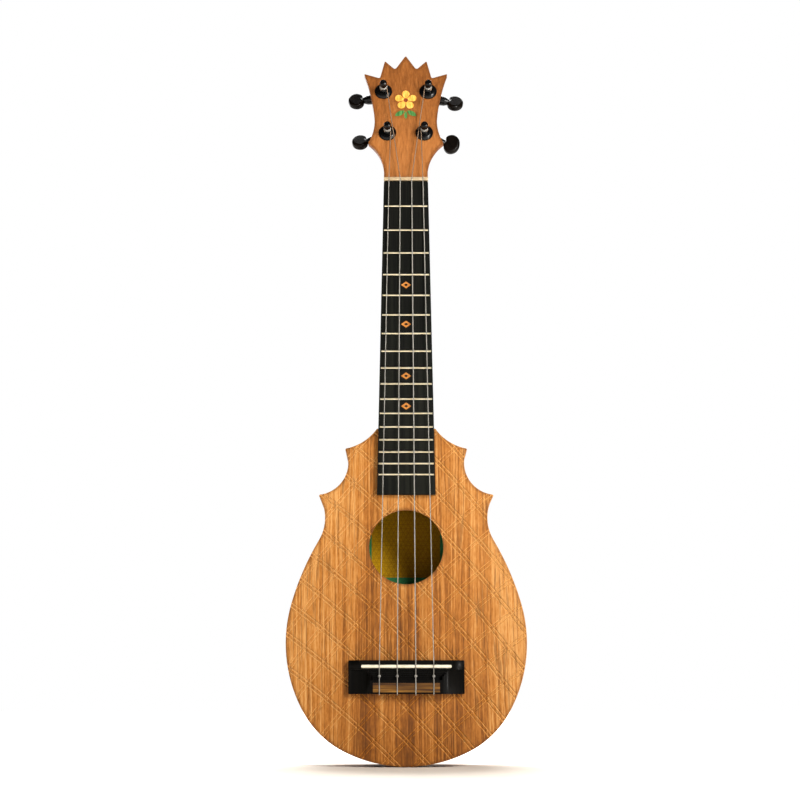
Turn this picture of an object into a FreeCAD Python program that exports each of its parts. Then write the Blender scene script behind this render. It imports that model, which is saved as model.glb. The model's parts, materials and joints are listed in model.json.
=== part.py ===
"""Ukulele with a spiked pear-shaped body, a crowned headstock and four geared tuners.

Frame: X to the right, Y from front to back, Z up along the neck, all in millimetres.
The origin is where the nut line and the centre line meet in the glue plane. The glue plane is
the neck's flat top, which the fretboard is glued to, and the soundboard's outer face.
The headstock and the tuners are drawn in local frames of their own and placed at the end.
"""

import FreeCAD, Part
import math
import os
from collections import namedtuple

V = FreeCAD.Vector
Circle = namedtuple("Circle", "x z radius side")
Tuner = namedtuple("Tuner", "name x r droop rest string")

# Neck and fretboard
SCALE_LENGTH = 381.0
FRET_COUNT = 17
MARKED_FRETS = (5, 7, 10, 12)
NUT_HALF_WIDTH = 17.7
NUT_THICKNESS = 2.8
BOARD_LENGTH = 253.6
BOARD_END_HALF_WIDTH = 22.4
BOARD_THICKNESS = 5.0
BOARD_CORNER = 1.8
NECK_DEPTH = 15.5
NECK_DEPTH_GROWTH = 1.8
HEEL_LENGTH = 51.5
HEEL_EXTRA_DEPTH = 48.7
HEEL_CAP_Y = 59.0

# Frets
FRET_WIDTH = 1.6
FRET_HEIGHT = 0.75
FRET_INSET = 0.7
TANG_WIDTH = 0.6
TANG_DEPTH = 2.0

# Diamond position markers
MARKER_HALF_WIDTH = 4.0
MARKER_HALF_HEIGHT = 2.8
MARKER_HOLE = 0.42
MARKER_DEPTH = 1.2

# Body shell
TAIL_Z = -454.5
BODY_TOP_Z = -201.5
BODY_DEPTH = 60.0
TOP_THICKNESS = 2.0
BACK_THICKNESS = 2.2
RIB_THICKNESS = 2.0
EDGE_EASE = 0.7
TIP_RADIUS = 1.1

# Side of the lower body, from the tail up, as tangent arcs: radius, turn in degrees, and
# 1 where the arc bulges outwards or -1 where it is hollow
BOUT_ARCS = ((105.0, 26.1, 1), (70.5, 33.5, 1), (104.3, 45.8, 1), (202.0, 14.8, 1), (32.9, 63.7, -1))
LOWER_TIP = (67.5, -253.0)
BITE_MIDDLE = (44.7, -230.6)
UPPER_TIP = (47.4, -217.2)
SHOULDER_MIDDLE = (34.0, -212.2)
SHOULDER_TOP = (22.6, BODY_TOP_Z)

# Sound hole
HOLE_Z = -293.2
HOLE_RADIUS = 28.2

# Inside of the body
LINING_WIDTH = 4.0
LINING_HEIGHT = 6.0
CORNER_BLOCK_REACH = 17.0
NECK_BLOCK_HALF_WIDTH = 22.0
NECK_BLOCK_BOTTOM_Z = -232.0
TAIL_BLOCK_HALF_WIDTH = 26.0
TAIL_BLOCK_TOP_Z = -438.0
TOP_BRACES_Z = (-258.5, -329.0)
TOP_BRACE = (6.0, 10.0)
FAN_BRACE = (5.0, 7.0)
FAN_TOP_Z = -332.0
FAN_BOTTOM_Z = -428.0
FAN_TOP_X = 17.0
FAN_BOTTOM_X = 30.0
BACK_BRACES_Z = (-241.0, -333.0, -398.0)
BACK_BRACE = (7.0, 9.0)
SEAM_STRIP_HALF_WIDTH = 7.0
SEAM_STRIP_THICKNESS = 1.8
BRIDGE_PLATE = (46.0, -408.0, -372.0, 1.6)
LABEL_HALF_WIDTH = 32.0
LABEL_Z = (-318.0, -252.0)
LABEL_THICKNESS = 0.25
DOWEL_RADIUS = 4.0
DOWELS = ((14.0, -178.0), (34.0, -189.0))
DOWEL_BOTTOM_Z = -222.0

# Bridge, saddle and tie block
BRIDGE_HALF_LENGTH = 43.0
BRIDGE_TOP_Z = -377.9
BRIDGE_BOTTOM_Z = -402.3
BRIDGE_HEIGHT = 8.5
SADDLE_Z = -382.4
SADDLE_HALF_LENGTH = 33.4
SADDLE_THICKNESS = 2.4
SADDLE_SLOT_DEPTH = 5.0
SADDLE_CROWN = 1.3
CHANNEL_Z = (-392.4, -384.7)
CHANNEL_STEPS = ((31.4, -386.6, -6.9), (30.0, -388.0, -5.8), (28.6, -389.4, -4.6), (27.0, -392.4, -3.4))
CHANNEL_END_SLOPE = 0.4
SADDLE_SCOOP = (34.5, 2.6)
TIE_SCOOP = (27.0, 3.2)
TIE_INLAY_HALF_LENGTH = 24.7
TIE_INLAY_Z = (-401.1, -394.4)
TIE_INLAY_THICKNESS = 0.9
TIE_HOLE_Y = -5.0
TIE_HOLE_RADIUS = 0.6

# Strings, from left to right: place at the nut, place at the saddle, radius
STRING_NUT_X = (-13.6, -4.6, 4.6, 13.6)
STRING_SADDLE_X = (-20.0, -6.75, 6.9, 20.2)
STRING_RADII = (0.32, 0.36, 0.40, 0.34)
STRING_NUT_Y = -6.9
STRING_NUT_Z = 1.4
STRING_SADDLE_Y = -10.6
KNOT_RADIUS = 1.15
KNOT_Y = -6.2
KNOT_Z = -389.4
BEND_RADIUS = 0.62

# Headstock
HEAD_TILT = 8.0
HEAD_START = V(0, -1.0, 4.0)
VENEER_THICKNESS = 1.5
HEAD_WOOD_THICKNESS = 12.0
HEAD_BACK = -(VENEER_THICKNESS + HEAD_WOOD_THICKNESS)
HEAD_EDGE = 4.0
UNDERCUT_SLOPE = math.tan(math.radians(34.0))
UNDERCUT_FRAME = (60.0, -20.0, 97.0)

# Neck inside the headstock: height, half width, depth, fullness of the back
ROOT_SECTIONS = ((3.0, 17.65, 15.2, 2.8), (7.0, 17.65, 14.0, 4.0), (12.0, 17.7, 12.4, 7.0),
                 (17.0, 17.8, 12.0, 10.0))

# Flower inlaid in the headstock face
FLOWER_CENTRE_R = 73.0
PETAL_COUNT = 5
PETAL_REACH = 6.0
PETAL_ROUND = 3.1
FLOWER_EYE_RADIUS = 1.9
INLAY_DEPTH = 0.8

# Tuners, in a frame with X outwards, Y towards the headstock's tip and Z forwards. Each has its
# place on the headstock, how far its shaft points down, its button's rest angle and its string
TUNERS = (Tuner("upper_left", -18.4, 81.2, 9.0, -20.0, 1), Tuner("lower_left", -15.0, 41.8, 9.0, -26.0, 0),
          Tuner("lower_right", 15.0, 41.8, 14.0, 5.0, 3), Tuner("upper_right", 18.4, 81.2, 14.0, -24.0, 2))
MODULE = 0.5
WHEEL_TEETH = 14
WORM_PITCH_RADIUS = 2.0
WORM_Z = -18.0
WORM_PITCH = math.pi * MODULE
WHEEL_PITCH_RADIUS = MODULE * WHEEL_TEETH / 2
WORM_Y = WHEEL_PITCH_RADIUS + WORM_PITCH_RADIUS
LEAD_ANGLE = math.atan(WORM_PITCH / (2 * math.pi * WORM_PITCH_RADIUS))
TOOTH_ADDENDUM = 0.45
TOOTH_DEDENDUM = 0.60
TOOTH_HALF = 0.31
TOOTH_SLOPE = math.tan(math.radians(20.0))
WHEEL_WIDTH = 3.0
THREAD_TURNS = 5
POST_RADIUS = 2.9
POST_WAIST_RADIUS = 2.3
POST_WAIST = (4.8, 9.2)
POST_TOP = 14.0
SPIGOT_RADIUS = 1.6
WHEEL_SEAT_RADIUS = 2.2
WHEEL_SCREW_RADIUS = 0.8
STRING_HOLE_RADIUS = 0.5
RUNNING_CLEARANCE = 0.05
STUD_RADIUS = 4.5
BUSHING_SLEEVE_RADIUS = 3.5
BUSHING_RADIUS = 6.9
WASHER_RADIUS = 7.2
WASHER_THICKNESS = 0.5
HOUSING_BACK = -22.5
HOUSING_WALL = 2.0
POCKET_RADIUS = 4.3
JOURNAL_RADIUS = 2.5
NOSE_RADIUS = 1.0
NOSE_START = -4.8
NOSE_END = -6.4
STEM_END = 13.2
BUTTON_START = 16.4
BUTTON_LENGTH = 12.6
BUTTON_HALF_HEIGHT = 8.3
BUTTON_THICKNESS = 5.6
BUTTON_EDGE = 2.1
COVER_THICKNESS = 0.8
EAR_Y = -8.2
EAR_RADIUS = 2.7
EAR_THICKNESS = 2.5
SCREW_RADIUS = 1.0
SCREW_HEAD_RADIUS = 2.0
SCREW_HEAD_HEIGHT = 1.3
SCREW_TIP = -6.5
SLOT_HALF_WIDTH = 0.3
SLOT_DEPTH = 0.6
COLLAR_START = STEM_END + 0.2
COLLAR_END = BUTTON_START + 0.4
COLLAR_RADII = (3.55, 2.3)
BUTTON_SPIGOT_RADIUS = 1.5
BUTTON_SPIGOT_END = BUTTON_START + 8.0
WINDING_TURNS = 3
WINDING_ARCS = 12
WINDING_PITCH = 0.76
WINDING_RADIUS = 0.34

BIG = 200.0


# ---------------------------------------------------------------- small helpers

def box(x0, x1, y0, y1, z0, z1):
    return Part.makeBox(x1 - x0, y1 - y0, z1 - z0, V(x0, y0, z0))


def fuse(shapes):
    """Join solids into one."""
    first, *rest = shapes
    return first.multiFuse(rest).removeSplitter() if rest else first


def cut(shape, tools):
    """Cut a list of tools from a shape."""
    return shape.cut(Part.makeCompound(list(tools)))


def closed_wire(points):
    return Part.makePolygon(list(points) + [points[0]])


def arc(start, middle, end):
    return Part.Arc(start, middle, end).toShape()


def mirrored_x(shape):
    return shape.mirror(V(0, 0, 0), V(1, 0, 0))


def slab(wire, y0, y1):
    """Fill a wire that lies in the glue plane and give it the depth from y0 to y1."""
    face = Part.Face(wire)
    face.translate(V(0, y0, 0))
    return face.extrude(V(0, y1 - y0, 0))


def rod(start, end, radius):
    along = end - start
    return Part.makeCylinder(radius, along.Length, start, along)


def turned(points):
    """Turn a closed outline of (radius, height) points about the Z axis."""
    face = Part.Face(closed_wire([V(r, 0, z) for r, z in points]))
    return face.revolve(V(0, 0, 0), V(0, 0, 1), 360)


def board_half_width(z):
    """Half width of the fretboard and the neck at height z."""
    return NUT_HALF_WIDTH + (BOARD_END_HALF_WIDTH - NUT_HALF_WIDTH) * -z / BOARD_LENGTH


def fret_z(number):
    return -SCALE_LENGTH * (1 - 2 ** (-number / 12))


# ---------------------------------------------------------------- outlines from trimmed runs

def circle_through(a, b, c, side=-1):
    """Circle through three (x, z) points."""
    curve = Part.Circle(V(a[0], 0, a[1]), V(b[0], 0, b[1]), V(c[0], 0, c[1]))
    return Circle(curve.Center.x, curve.Center.z, curve.Radius, side)


def inset(circle, distance):
    """The same arc moved into the body: bulging arcs shrink and hollow ones grow."""
    return circle._replace(radius=circle.radius - circle.side * distance)


def meet(a, b, near):
    """Crossing point of two circles that lies nearest to a given (x, z) point."""
    dx, dz = b.x - a.x, b.z - a.z
    gap = math.hypot(dx, dz)
    along = (a.radius ** 2 - b.radius ** 2 + gap ** 2) / (2 * gap)
    across = math.sqrt(a.radius ** 2 - along ** 2)
    crossings = []
    for sign in (1, -1):
        x = a.x + (along * dx - sign * across * dz) / gap
        z = a.z + (along * dz + sign * across * dx) / gap
        crossings.append((x, z))
    return min(crossings, key=lambda p: math.hypot(p[0] - near[0], p[1] - near[1]))


def circle_edge(circle, start, end):
    """The shorter arc of a circle between two (x, z) points on it."""
    first = math.atan2(start[1] - circle.z, start[0] - circle.x)
    last = math.atan2(end[1] - circle.z, end[0] - circle.x)
    turn = (last - first + math.pi) % (2 * math.pi) - math.pi
    middle = first + turn / 2
    top = V(circle.x + circle.radius * math.cos(middle), 0, circle.z + circle.radius * math.sin(middle))
    return arc(V(start[0], 0, start[1]), top, V(end[0], 0, end[1]))


def towards(circle, point):
    """Point of a circle that faces another point."""
    reach = math.hypot(point[0] - circle.x, point[1] - circle.z)
    return (circle.x + (point[0] - circle.x) * circle.radius / reach,
            circle.z + (point[1] - circle.z) * circle.radius / reach)


# ---------------------------------------------------------------- body outline

def bout_circles():
    """The tangent arcs of the lower body, with the points where each one starts and ends."""
    x, z, heading = 0.0, TAIL_Z, 0.0
    arcs = []
    for radius, turn, side in BOUT_ARCS:
        centre_x = x - side * radius * math.sin(heading)
        centre_z = z + side * radius * math.cos(heading)
        start = heading - side * math.pi / 2
        heading += side * math.radians(turn)
        end = heading - side * math.pi / 2
        x = centre_x + radius * math.cos(end)
        z = centre_z + radius * math.sin(end)
        arcs.append((Circle(centre_x, centre_z, radius, side), start, end))
    return arcs


def on_circle(circle, angle):
    return (circle.x + circle.radius * math.cos(angle), circle.z + circle.radius * math.sin(angle))


def tip_between(lower, upper, near, radius):
    """End of the lower arc, start of the upper arc and the rounding between them at a spike."""
    if not radius:
        point = meet(lower, upper, near)
        return point, point, []
    centre = meet(inset(lower, radius), inset(upper, radius), near)
    first, last = towards(lower, centre), towards(upper, centre)
    return first, last, [circle_edge(Circle(centre[0], centre[1], radius, 1), first, last)]


def body_outline(distance=0.0, tip_radius=0.0):
    """Closed outline of the body, moved inwards by a distance."""
    arcs = bout_circles()
    edges = []
    for circle, start, end in arcs[:-1]:
        moved = inset(circle, distance)
        edges.append(circle_edge(moved, on_circle(moved, start), on_circle(moved, end)))
    waist = inset(arcs[-1][0], distance)
    bite = inset(circle_through(LOWER_TIP, BITE_MIDDLE, UPPER_TIP), distance)
    shoulder = inset(circle_through(UPPER_TIP, SHOULDER_MIDDLE, SHOULDER_TOP), distance)
    waist_end, bite_start, low_tip = tip_between(waist, bite, LOWER_TIP, tip_radius)
    bite_end, shoulder_start, high_tip = tip_between(bite, shoulder, UPPER_TIP, tip_radius)
    top_z = BODY_TOP_Z - distance
    top_x = shoulder.x - math.sqrt(shoulder.radius ** 2 - (top_z - shoulder.z) ** 2)
    edges.append(circle_edge(waist, on_circle(waist, arcs[-1][1]), waist_end))
    edges += low_tip + [circle_edge(bite, bite_start, bite_end)] + high_tip
    edges.append(circle_edge(shoulder, shoulder_start, (top_x, top_z)))
    edges.append(Part.makeLine(V(top_x, 0, top_z), V(0, 0, top_z)))
    edges += [mirrored_x(edge) for edge in edges]
    return Part.Wire(Part.__sortEdges__(edges))


def eased_plate(y0, y1, outer_y):
    """A plate of the body's outline, with its outer edge slightly rounded."""
    plate = slab(body_outline(0.0, TIP_RADIUS), y0, y1)
    rim = []
    for edge in plate.Edges:
        bounds = edge.BoundBox
        if abs(bounds.YMin - outer_y) < 1e-6 and abs(bounds.YMax - outer_y) < 1e-6:
            rim.append(edge)
    return plate.makeFillet(EDGE_EASE, rim)


def cavity(distance):
    """The space inside the body, at a distance from its outer surface."""
    return slab(body_outline(distance), TOP_THICKNESS, BODY_DEPTH - BACK_THICKNESS)


# ---------------------------------------------------------------- body

def soundboard():
    hole = Part.makeCylinder(HOLE_RADIUS, 3 * TOP_THICKNESS, V(0, -TOP_THICKNESS, HOLE_Z), V(0, 1, 0))
    return eased_plate(0.0, TOP_THICKNESS, 0.0).cut(hole)


def back_plate():
    return eased_plate(BODY_DEPTH - BACK_THICKNESS, BODY_DEPTH, BODY_DEPTH)


def neck_dowels():
    """Two dowels across the heel joint, and the same shapes cut their holes."""
    return [rod(V(0, y, DOWEL_BOTTOM_Z), V(0, y, top_z), DOWEL_RADIUS) for y, top_z in DOWELS]


def ribs():
    """The left and the right side, which meet in the centre at the heel and at the tail."""
    band = slab(body_outline(0.0, TIP_RADIUS), TOP_THICKNESS, BODY_DEPTH - BACK_THICKNESS)
    band = cut(band, [cavity(RIB_THICKNESS)] + neck_dowels())
    left = band.common(box(-BIG, 0, 0, BODY_DEPTH, 3 * TAIL_Z, 0))
    right = band.common(box(0, BIG, 0, BODY_DEPTH, 3 * TAIL_Z, 0))
    return left, right


def tip_columns():
    """Upright columns round the four spikes, which bound the corner blocks."""
    columns = []
    for x, z in (LOWER_TIP, UPPER_TIP):
        for side in (1, -1):
            foot = V(side * x, 0, z)
            columns.append(Part.makeCylinder(CORNER_BLOCK_REACH, BODY_DEPTH, foot, V(0, 1, 0)))
    return columns


def corner_blocks():
    edge_band = cavity(RIB_THICKNESS).cut(cavity(RIB_THICKNESS + LINING_WIDTH))
    upper_limit = box(-NECK_BLOCK_HALF_WIDTH, NECK_BLOCK_HALF_WIDTH, 0, BODY_DEPTH, NECK_BLOCK_BOTTOM_Z, 0)
    blocks = []
    for column in tip_columns():
        blocks.append(edge_band.common(column).cut(upper_limit))
    lower_right, lower_left, upper_right, upper_left = blocks
    return [lower_right, lower_left, upper_right.cut(lower_right), upper_left.cut(lower_left)]


def neck_block():
    block = box(-NECK_BLOCK_HALF_WIDTH, NECK_BLOCK_HALF_WIDTH, TOP_THICKNESS, BODY_DEPTH - BACK_THICKNESS,
                NECK_BLOCK_BOTTOM_Z, BODY_TOP_Z)
    return cut(block.common(cavity(RIB_THICKNESS)), neck_dowels())


def tail_block():
    block = box(-TAIL_BLOCK_HALF_WIDTH, TAIL_BLOCK_HALF_WIDTH, TOP_THICKNESS, BODY_DEPTH - BACK_THICKNESS,
                2 * TAIL_Z, TAIL_BLOCK_TOP_Z)
    return block.common(cavity(RIB_THICKNESS))


def lining(y0, y1, blocks):
    """A strip along the inside of the ribs, in the lengths between the blocks."""
    outer = slab(body_outline(RIB_THICKNESS), y0, y1)
    inner = slab(body_outline(RIB_THICKNESS + LINING_WIDTH), y0, y1)
    return cut(outer.cut(inner), blocks).Solids


def across_body(z, width, y0, y1):
    """A bar across the body between the linings."""
    bar = box(-BIG, BIG, y0, y1, z - width / 2, z + width / 2)
    return bar.common(cavity(RIB_THICKNESS + LINING_WIDTH))


def top_braces():
    width, height = TOP_BRACE
    return [across_body(z, width, TOP_THICKNESS, TOP_THICKNESS + height) for z in TOP_BRACES_Z]


def bridge_plate():
    half_width, low_z, high_z, thickness = BRIDGE_PLATE
    return box(-half_width, half_width, TOP_THICKNESS, TOP_THICKNESS + thickness, low_z, high_z)


def fan_braces(plate):
    """Three bars below the sound hole that spread towards the tail."""
    width, height = FAN_BRACE
    bars = []
    for side in (-1, 0, 1):
        top_x, low_x = side * FAN_TOP_X, side * FAN_BOTTOM_X
        corners = [V(top_x - width / 2, 0, FAN_TOP_Z), V(top_x + width / 2, 0, FAN_TOP_Z),
                   V(low_x + width / 2, 0, FAN_BOTTOM_Z), V(low_x - width / 2, 0, FAN_BOTTOM_Z)]
        bar = slab(closed_wire(corners), TOP_THICKNESS, TOP_THICKNESS + height)
        bars.append(bar.cut(plate))
    return bars


def back_braces():
    width, height = BACK_BRACE
    inner_y = BODY_DEPTH - BACK_THICKNESS
    return [across_body(z, width, inner_y - height, inner_y) for z in BACK_BRACES_Z]


def back_seam_strip(blocks):
    """Strip over the back's centre seam, in the lengths between blocks, braces and label."""
    inner_y = BODY_DEPTH - BACK_THICKNESS
    strip = box(-SEAM_STRIP_HALF_WIDTH, SEAM_STRIP_HALF_WIDTH, inner_y - SEAM_STRIP_THICKNESS, inner_y,
                TAIL_BLOCK_TOP_Z, NECK_BLOCK_BOTTOM_Z)
    window = box(-BIG, BIG, 0, BODY_DEPTH, LABEL_Z[0] - 2, LABEL_Z[1] + 2)
    return cut(strip, blocks + [window]).Solids


def label():
    inner_y = BODY_DEPTH - BACK_THICKNESS
    return box(-LABEL_HALF_WIDTH, LABEL_HALF_WIDTH, inner_y - LABEL_THICKNESS, inner_y, *LABEL_Z)


# ---------------------------------------------------------------- fretboard

def board_outline(start_z, end_z, margin=0.0):
    top, low = board_half_width(start_z) - margin, board_half_width(end_z) - margin
    return closed_wire([V(-top, 0, start_z), V(top, 0, start_z), V(low, 0, end_z), V(-low, 0, end_z)])


def fret_profile(z):
    """Section of a fret: a crown on the board and a tang in its slot."""
    crown = arc(V(0, 0, z - FRET_WIDTH / 2), V(0, -FRET_HEIGHT, z), V(0, 0, z + FRET_WIDTH / 2))
    corners = [V(0, 0, z + FRET_WIDTH / 2), V(0, 0, z + TANG_WIDTH / 2), V(0, TANG_DEPTH, z + TANG_WIDTH / 2),
               V(0, TANG_DEPTH, z - TANG_WIDTH / 2), V(0, 0, z - TANG_WIDTH / 2), V(0, 0, z - FRET_WIDTH / 2)]
    return Part.Wire([crown, Part.makePolygon(corners)])


def fret(number):
    """One fret, with its ends filed at a slope."""
    z = fret_z(number)
    reach = board_half_width(z) - FRET_INSET
    face = Part.Face(fret_profile(z))
    face.translate(V(-reach, -BOARD_THICKNESS, 0))
    bar = face.extrude(V(2 * reach, 0, 0))
    crown_top = -BOARD_THICKNESS - FRET_HEIGHT
    slope = FRET_HEIGHT * 0.7
    end = [V(reach - slope, crown_top, 0), V(reach + 1, crown_top, 0), V(reach + 1, -BOARD_THICKNESS, 0),
           V(reach, -BOARD_THICKNESS, 0)]
    wedge = Part.Face(closed_wire(end)).extrude(V(0, 0, 2 * FRET_WIDTH))
    wedge.translate(V(0, 0, z - FRET_WIDTH))
    return cut(bar, [wedge, mirrored_x(wedge)])


def fret_slot(number):
    z = fret_z(number)
    reach = board_half_width(z) - FRET_INSET
    return box(-reach, reach, -BOARD_THICKNESS, TANG_DEPTH - BOARD_THICKNESS,
               z - TANG_WIDTH / 2, z + TANG_WIDTH / 2)


def diamond(z, size):
    width, height = MARKER_HALF_WIDTH * size, MARKER_HALF_HEIGHT * size
    wire = closed_wire([V(width, 0, z), V(0, 0, z + height), V(-width, 0, z), V(0, 0, z - height)])
    return slab(wire, -BOARD_THICKNESS, MARKER_DEPTH - BOARD_THICKNESS)


def fret_markers():
    """Hollow diamonds, each halfway between its fret and the one before it."""
    places = [(fret_z(number) + fret_z(number - 1)) / 2 for number in MARKED_FRETS]
    return [diamond(z, 1.0).cut(diamond(z, MARKER_HOLE)) for z in places]


def fretboard(markers):
    board = slab(board_outline(0.0, -BOARD_LENGTH), -BOARD_THICKNESS, 0.0)
    corners = [edge for edge in board.Edges if edge.BoundBox.ZMin > -1e-6 and edge.BoundBox.XLength < 1e-6]
    board = board.makeFillet(BOARD_CORNER, corners)
    slots = [fret_slot(number) for number in range(1, FRET_COUNT + 1)]
    return cut(board, slots + markers)


# ---------------------------------------------------------------- headstock plane and outline

def head_placement():
    """Placement of the headstock's frame: X right, Y towards the tip, Z out of its front face."""
    return FreeCAD.Placement(HEAD_START, FreeCAD.Rotation(V(1, 0, 0), 90 - HEAD_TILT))


def on_head(shape):
    placed = shape.copy()
    placed.Placement = head_placement().multiply(placed.Placement)
    return placed


def rounded_corner(corner, before, after):
    """Arc that rounds a corner between two points at the same distance from it."""
    half_chord = (after - before).Length / 2
    sine = half_chord / (corner - before).Length
    middle = corner + ((before + after) / 2 - corner) / (1 + sine)
    return arc(before, middle, after)


def trimmed(start, via, end, trim_start, trim_end):
    """A straight run, or an arc by way of a point, without a short length at each end."""
    if via is None:
        along = (end - start).normalize()
        return start + along * trim_start, None, end - along * trim_end
    radius = Part.Circle(start, via, end).Radius
    edge = arc(start, via, end)
    first, last = edge.FirstParameter, edge.LastParameter
    if (edge.valueAt(first) - start).Length > 1e-6:
        first, last = last, first
    step = math.copysign(1 / radius, last - first)
    first += trim_start * step
    last -= trim_end * step
    return edge.valueAt(first), edge.valueAt((first + last) / 2), edge.valueAt(last)


def eased_wire(corners):
    """Closed outline from (point, way to the next corner, length taken off at the corner)."""
    runs, edges = [], []
    for index, (start, via, ease) in enumerate(corners):
        end, _, next_ease = corners[(index + 1) % len(corners)]
        runs.append(trimmed(start, via, end, ease, next_ease))
    for index, (start, via, end) in enumerate(runs):
        edges.append(arc(start, via, end) if via else Part.makeLine(start, end))
        corner, _, ease = corners[(index + 1) % len(corners)]
        if ease:
            edges.append(rounded_corner(corner, end, runs[(index + 1) % len(runs)][0]))
    return Part.Wire(Part.__sortEdges__(edges))


def head_outline():
    """Outline of the headstock from the nut up to the crown, in its own frame."""
    right = [(V(NUT_HALF_WIDTH, -3.0, 0), None, 0), (V(NUT_HALF_WIDTH, 1.5, 0), V(20.9, 19.4, 0), 0),
             (V(30.8, 32.2, 0), V(26.3, 44.6, 0), 1.0), (V(25.6, 55.5, 0), V(28.5, 76.0, 0), 0),
             (V(34.6, 98.3, 0), None, 1.1), (V(21.4, 94.0, 0), None, 1.4), (V(17.3, 110.8, 0), None, 1.0),
             (V(8.8, 102.4, 0), None, 2.2)]
    tip = [(V(0, 116.0, 0), None, 1.2)]
    left = []
    for index in range(len(right) - 1, -1, -1):
        corner, _, ease = right[index]
        via = right[index - 1][1] if index else None
        flip = V(-via.x, via.y, 0) if via else None
        left.append((V(-corner.x, corner.y, 0), flip, ease))
    return eased_wire(right + tip + left)


def head_slab(low, high):
    """The headstock's outline with thickness, between two heights over its front plane."""
    face = Part.Face(head_outline())
    face.translate(V(0, 0, low))
    return face.extrude(V(0, 0, high - low))


def undercut():
    """What is cut away behind the headstock's straight edge, so that its lower sides slope."""
    half_width, low, high = UNDERCUT_FRAME
    corners = [V(-half_width, low, 0), V(half_width, low, 0), V(half_width, high, 0), V(-half_width, high, 0)]
    around = Part.Face(closed_wire(corners)).cut(Part.Face(head_outline()))
    around.translate(V(0, 0, -HEAD_EDGE))
    depth = -HEAD_BACK - HEAD_EDGE + 1
    return around.extrude(V(0, depth * UNDERCUT_SLOPE, -depth))


def above_nut():
    return box(-BIG, BIG, -BIG, BIG, NUT_THICKNESS, 2 * BIG)


def tuner_holes():
    """Holes through the headstock for the four tuner studs, in the headstock's frame."""
    depth = VENEER_THICKNESS + HEAD_WOOD_THICKNESS + 2
    return [Part.makeCylinder(STUD_RADIUS + 0.1, depth, V(tuner.x, tuner.r, HEAD_BACK - 1), V(0, 0, 1))
            for tuner in TUNERS]


def headstock_veneer(inlays):
    face = cut(head_slab(-VENEER_THICKNESS, 0.0), tuner_holes() + inlays)
    return on_head(face).common(above_nut())


# ---------------------------------------------------------------- flower inlay

def leaf(start, bulge, end):
    """Pointed leaf between two points, with both sides bulging by a distance."""
    middle = (start + end) / 2
    across = V(-(end - start).y, (end - start).x, 0).normalize() * bulge
    return Part.Wire([arc(start, middle + across, end), arc(end, middle - across, start)])


def inlay_piece(wire):
    face = Part.Face(wire)
    face.translate(V(0, 0, -INLAY_DEPTH))
    return face.extrude(V(0, 0, INLAY_DEPTH))


def petal(number):
    """Drop-shaped petal: two straight sides from the centre, tangent to a round end."""
    spread = math.asin(PETAL_ROUND / PETAL_REACH)
    side = math.sqrt(PETAL_REACH ** 2 - PETAL_ROUND ** 2)
    right = V(side * math.sin(spread), side * math.cos(spread), 0)
    left = V(-right.x, right.y, 0)
    end = arc(right, V(0, PETAL_REACH + PETAL_ROUND, 0), left)
    wire = Part.Wire([Part.makeLine(V(0, 0, 0), right), end, Part.makeLine(left, V(0, 0, 0))])
    piece = inlay_piece(wire)
    piece.rotate(V(0, 0, 0), V(0, 0, 1), number * 360 / PETAL_COUNT)
    return piece


def flower_parts():
    """Petals, eye and leaves of the inlaid flower, in the headstock's frame."""
    eye = Part.makeCylinder(FLOWER_EYE_RADIUS, INLAY_DEPTH, V(0, 0, -INLAY_DEPTH), V(0, 0, 1))
    petals = [petal(number).cut(eye) for number in range(PETAL_COUNT)]
    wires = [leaf(V(1.0, -10.2, 0), 2.1, V(8.9, -15.0, 0)), leaf(V(-1.0, -10.2, 0), 2.1, V(-8.9, -15.0, 0)),
             leaf(V(0.0, -10.6, 0), 1.3, V(0.0, -18.0, 0))]
    leaves = [inlay_piece(wire) for wire in wires]
    leaves[2] = cut(leaves[2], leaves[:2])
    for piece in petals + [eye] + leaves:
        piece.translate(V(0, FLOWER_CENTRE_R, 0))
    return petals, eye, leaves


# ---------------------------------------------------------------- neck

def neck_section(z, front_y, half_width, depth, fullness):
    """Outline of the neck across its length: flat in front and rounded behind."""
    steps = 16
    points = []
    for step in range(steps + 1):
        angle = math.pi * step / steps
        cosine, sine = math.cos(angle), max(math.sin(angle), 0.0)
        x = math.copysign(half_width * abs(cosine) ** (2 / fullness), cosine)
        points.append(V(x, front_y + depth * sine ** (2 / fullness), z))
    curve = Part.BSplineCurve()
    curve.interpolate(points, Parameters=[step / steps for step in range(steps + 1)])
    return Part.Wire([curve.toShape(), Part.makeLine(points[-1], points[0])])


def neck_depth(z):
    """Depth of the neck behind the glue plane, which swells into the heel."""
    heel = max(0.0, (HEEL_LENGTH + BODY_TOP_Z - z) / HEEL_LENGTH)
    return NECK_DEPTH + NECK_DEPTH_GROWTH * -z / -BODY_TOP_Z + HEEL_EXTRA_DEPTH * heel ** 3


def neck_shaft():
    """The neck from the body up into the headstock, lofted through its sections."""
    tilt = math.tan(math.radians(HEAD_TILT))
    heights = [BODY_TOP_Z + step * HEEL_LENGTH / 10 for step in range(10)]
    heights += [-150.0, -120.0, -80.0, -40.0, -12.0, -2.0]
    sections = [neck_section(z, 0.0, board_half_width(z), neck_depth(z), 2.2) for z in heights]
    for z, half_width, depth, fullness in ROOT_SECTIONS:
        front = VENEER_THICKNESS + HEAD_START.y + (z - HEAD_START.z) * tilt
        sections.append(neck_section(z, front, half_width, depth, fullness))
    return Part.makeLoft(sections, True, False)


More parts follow.
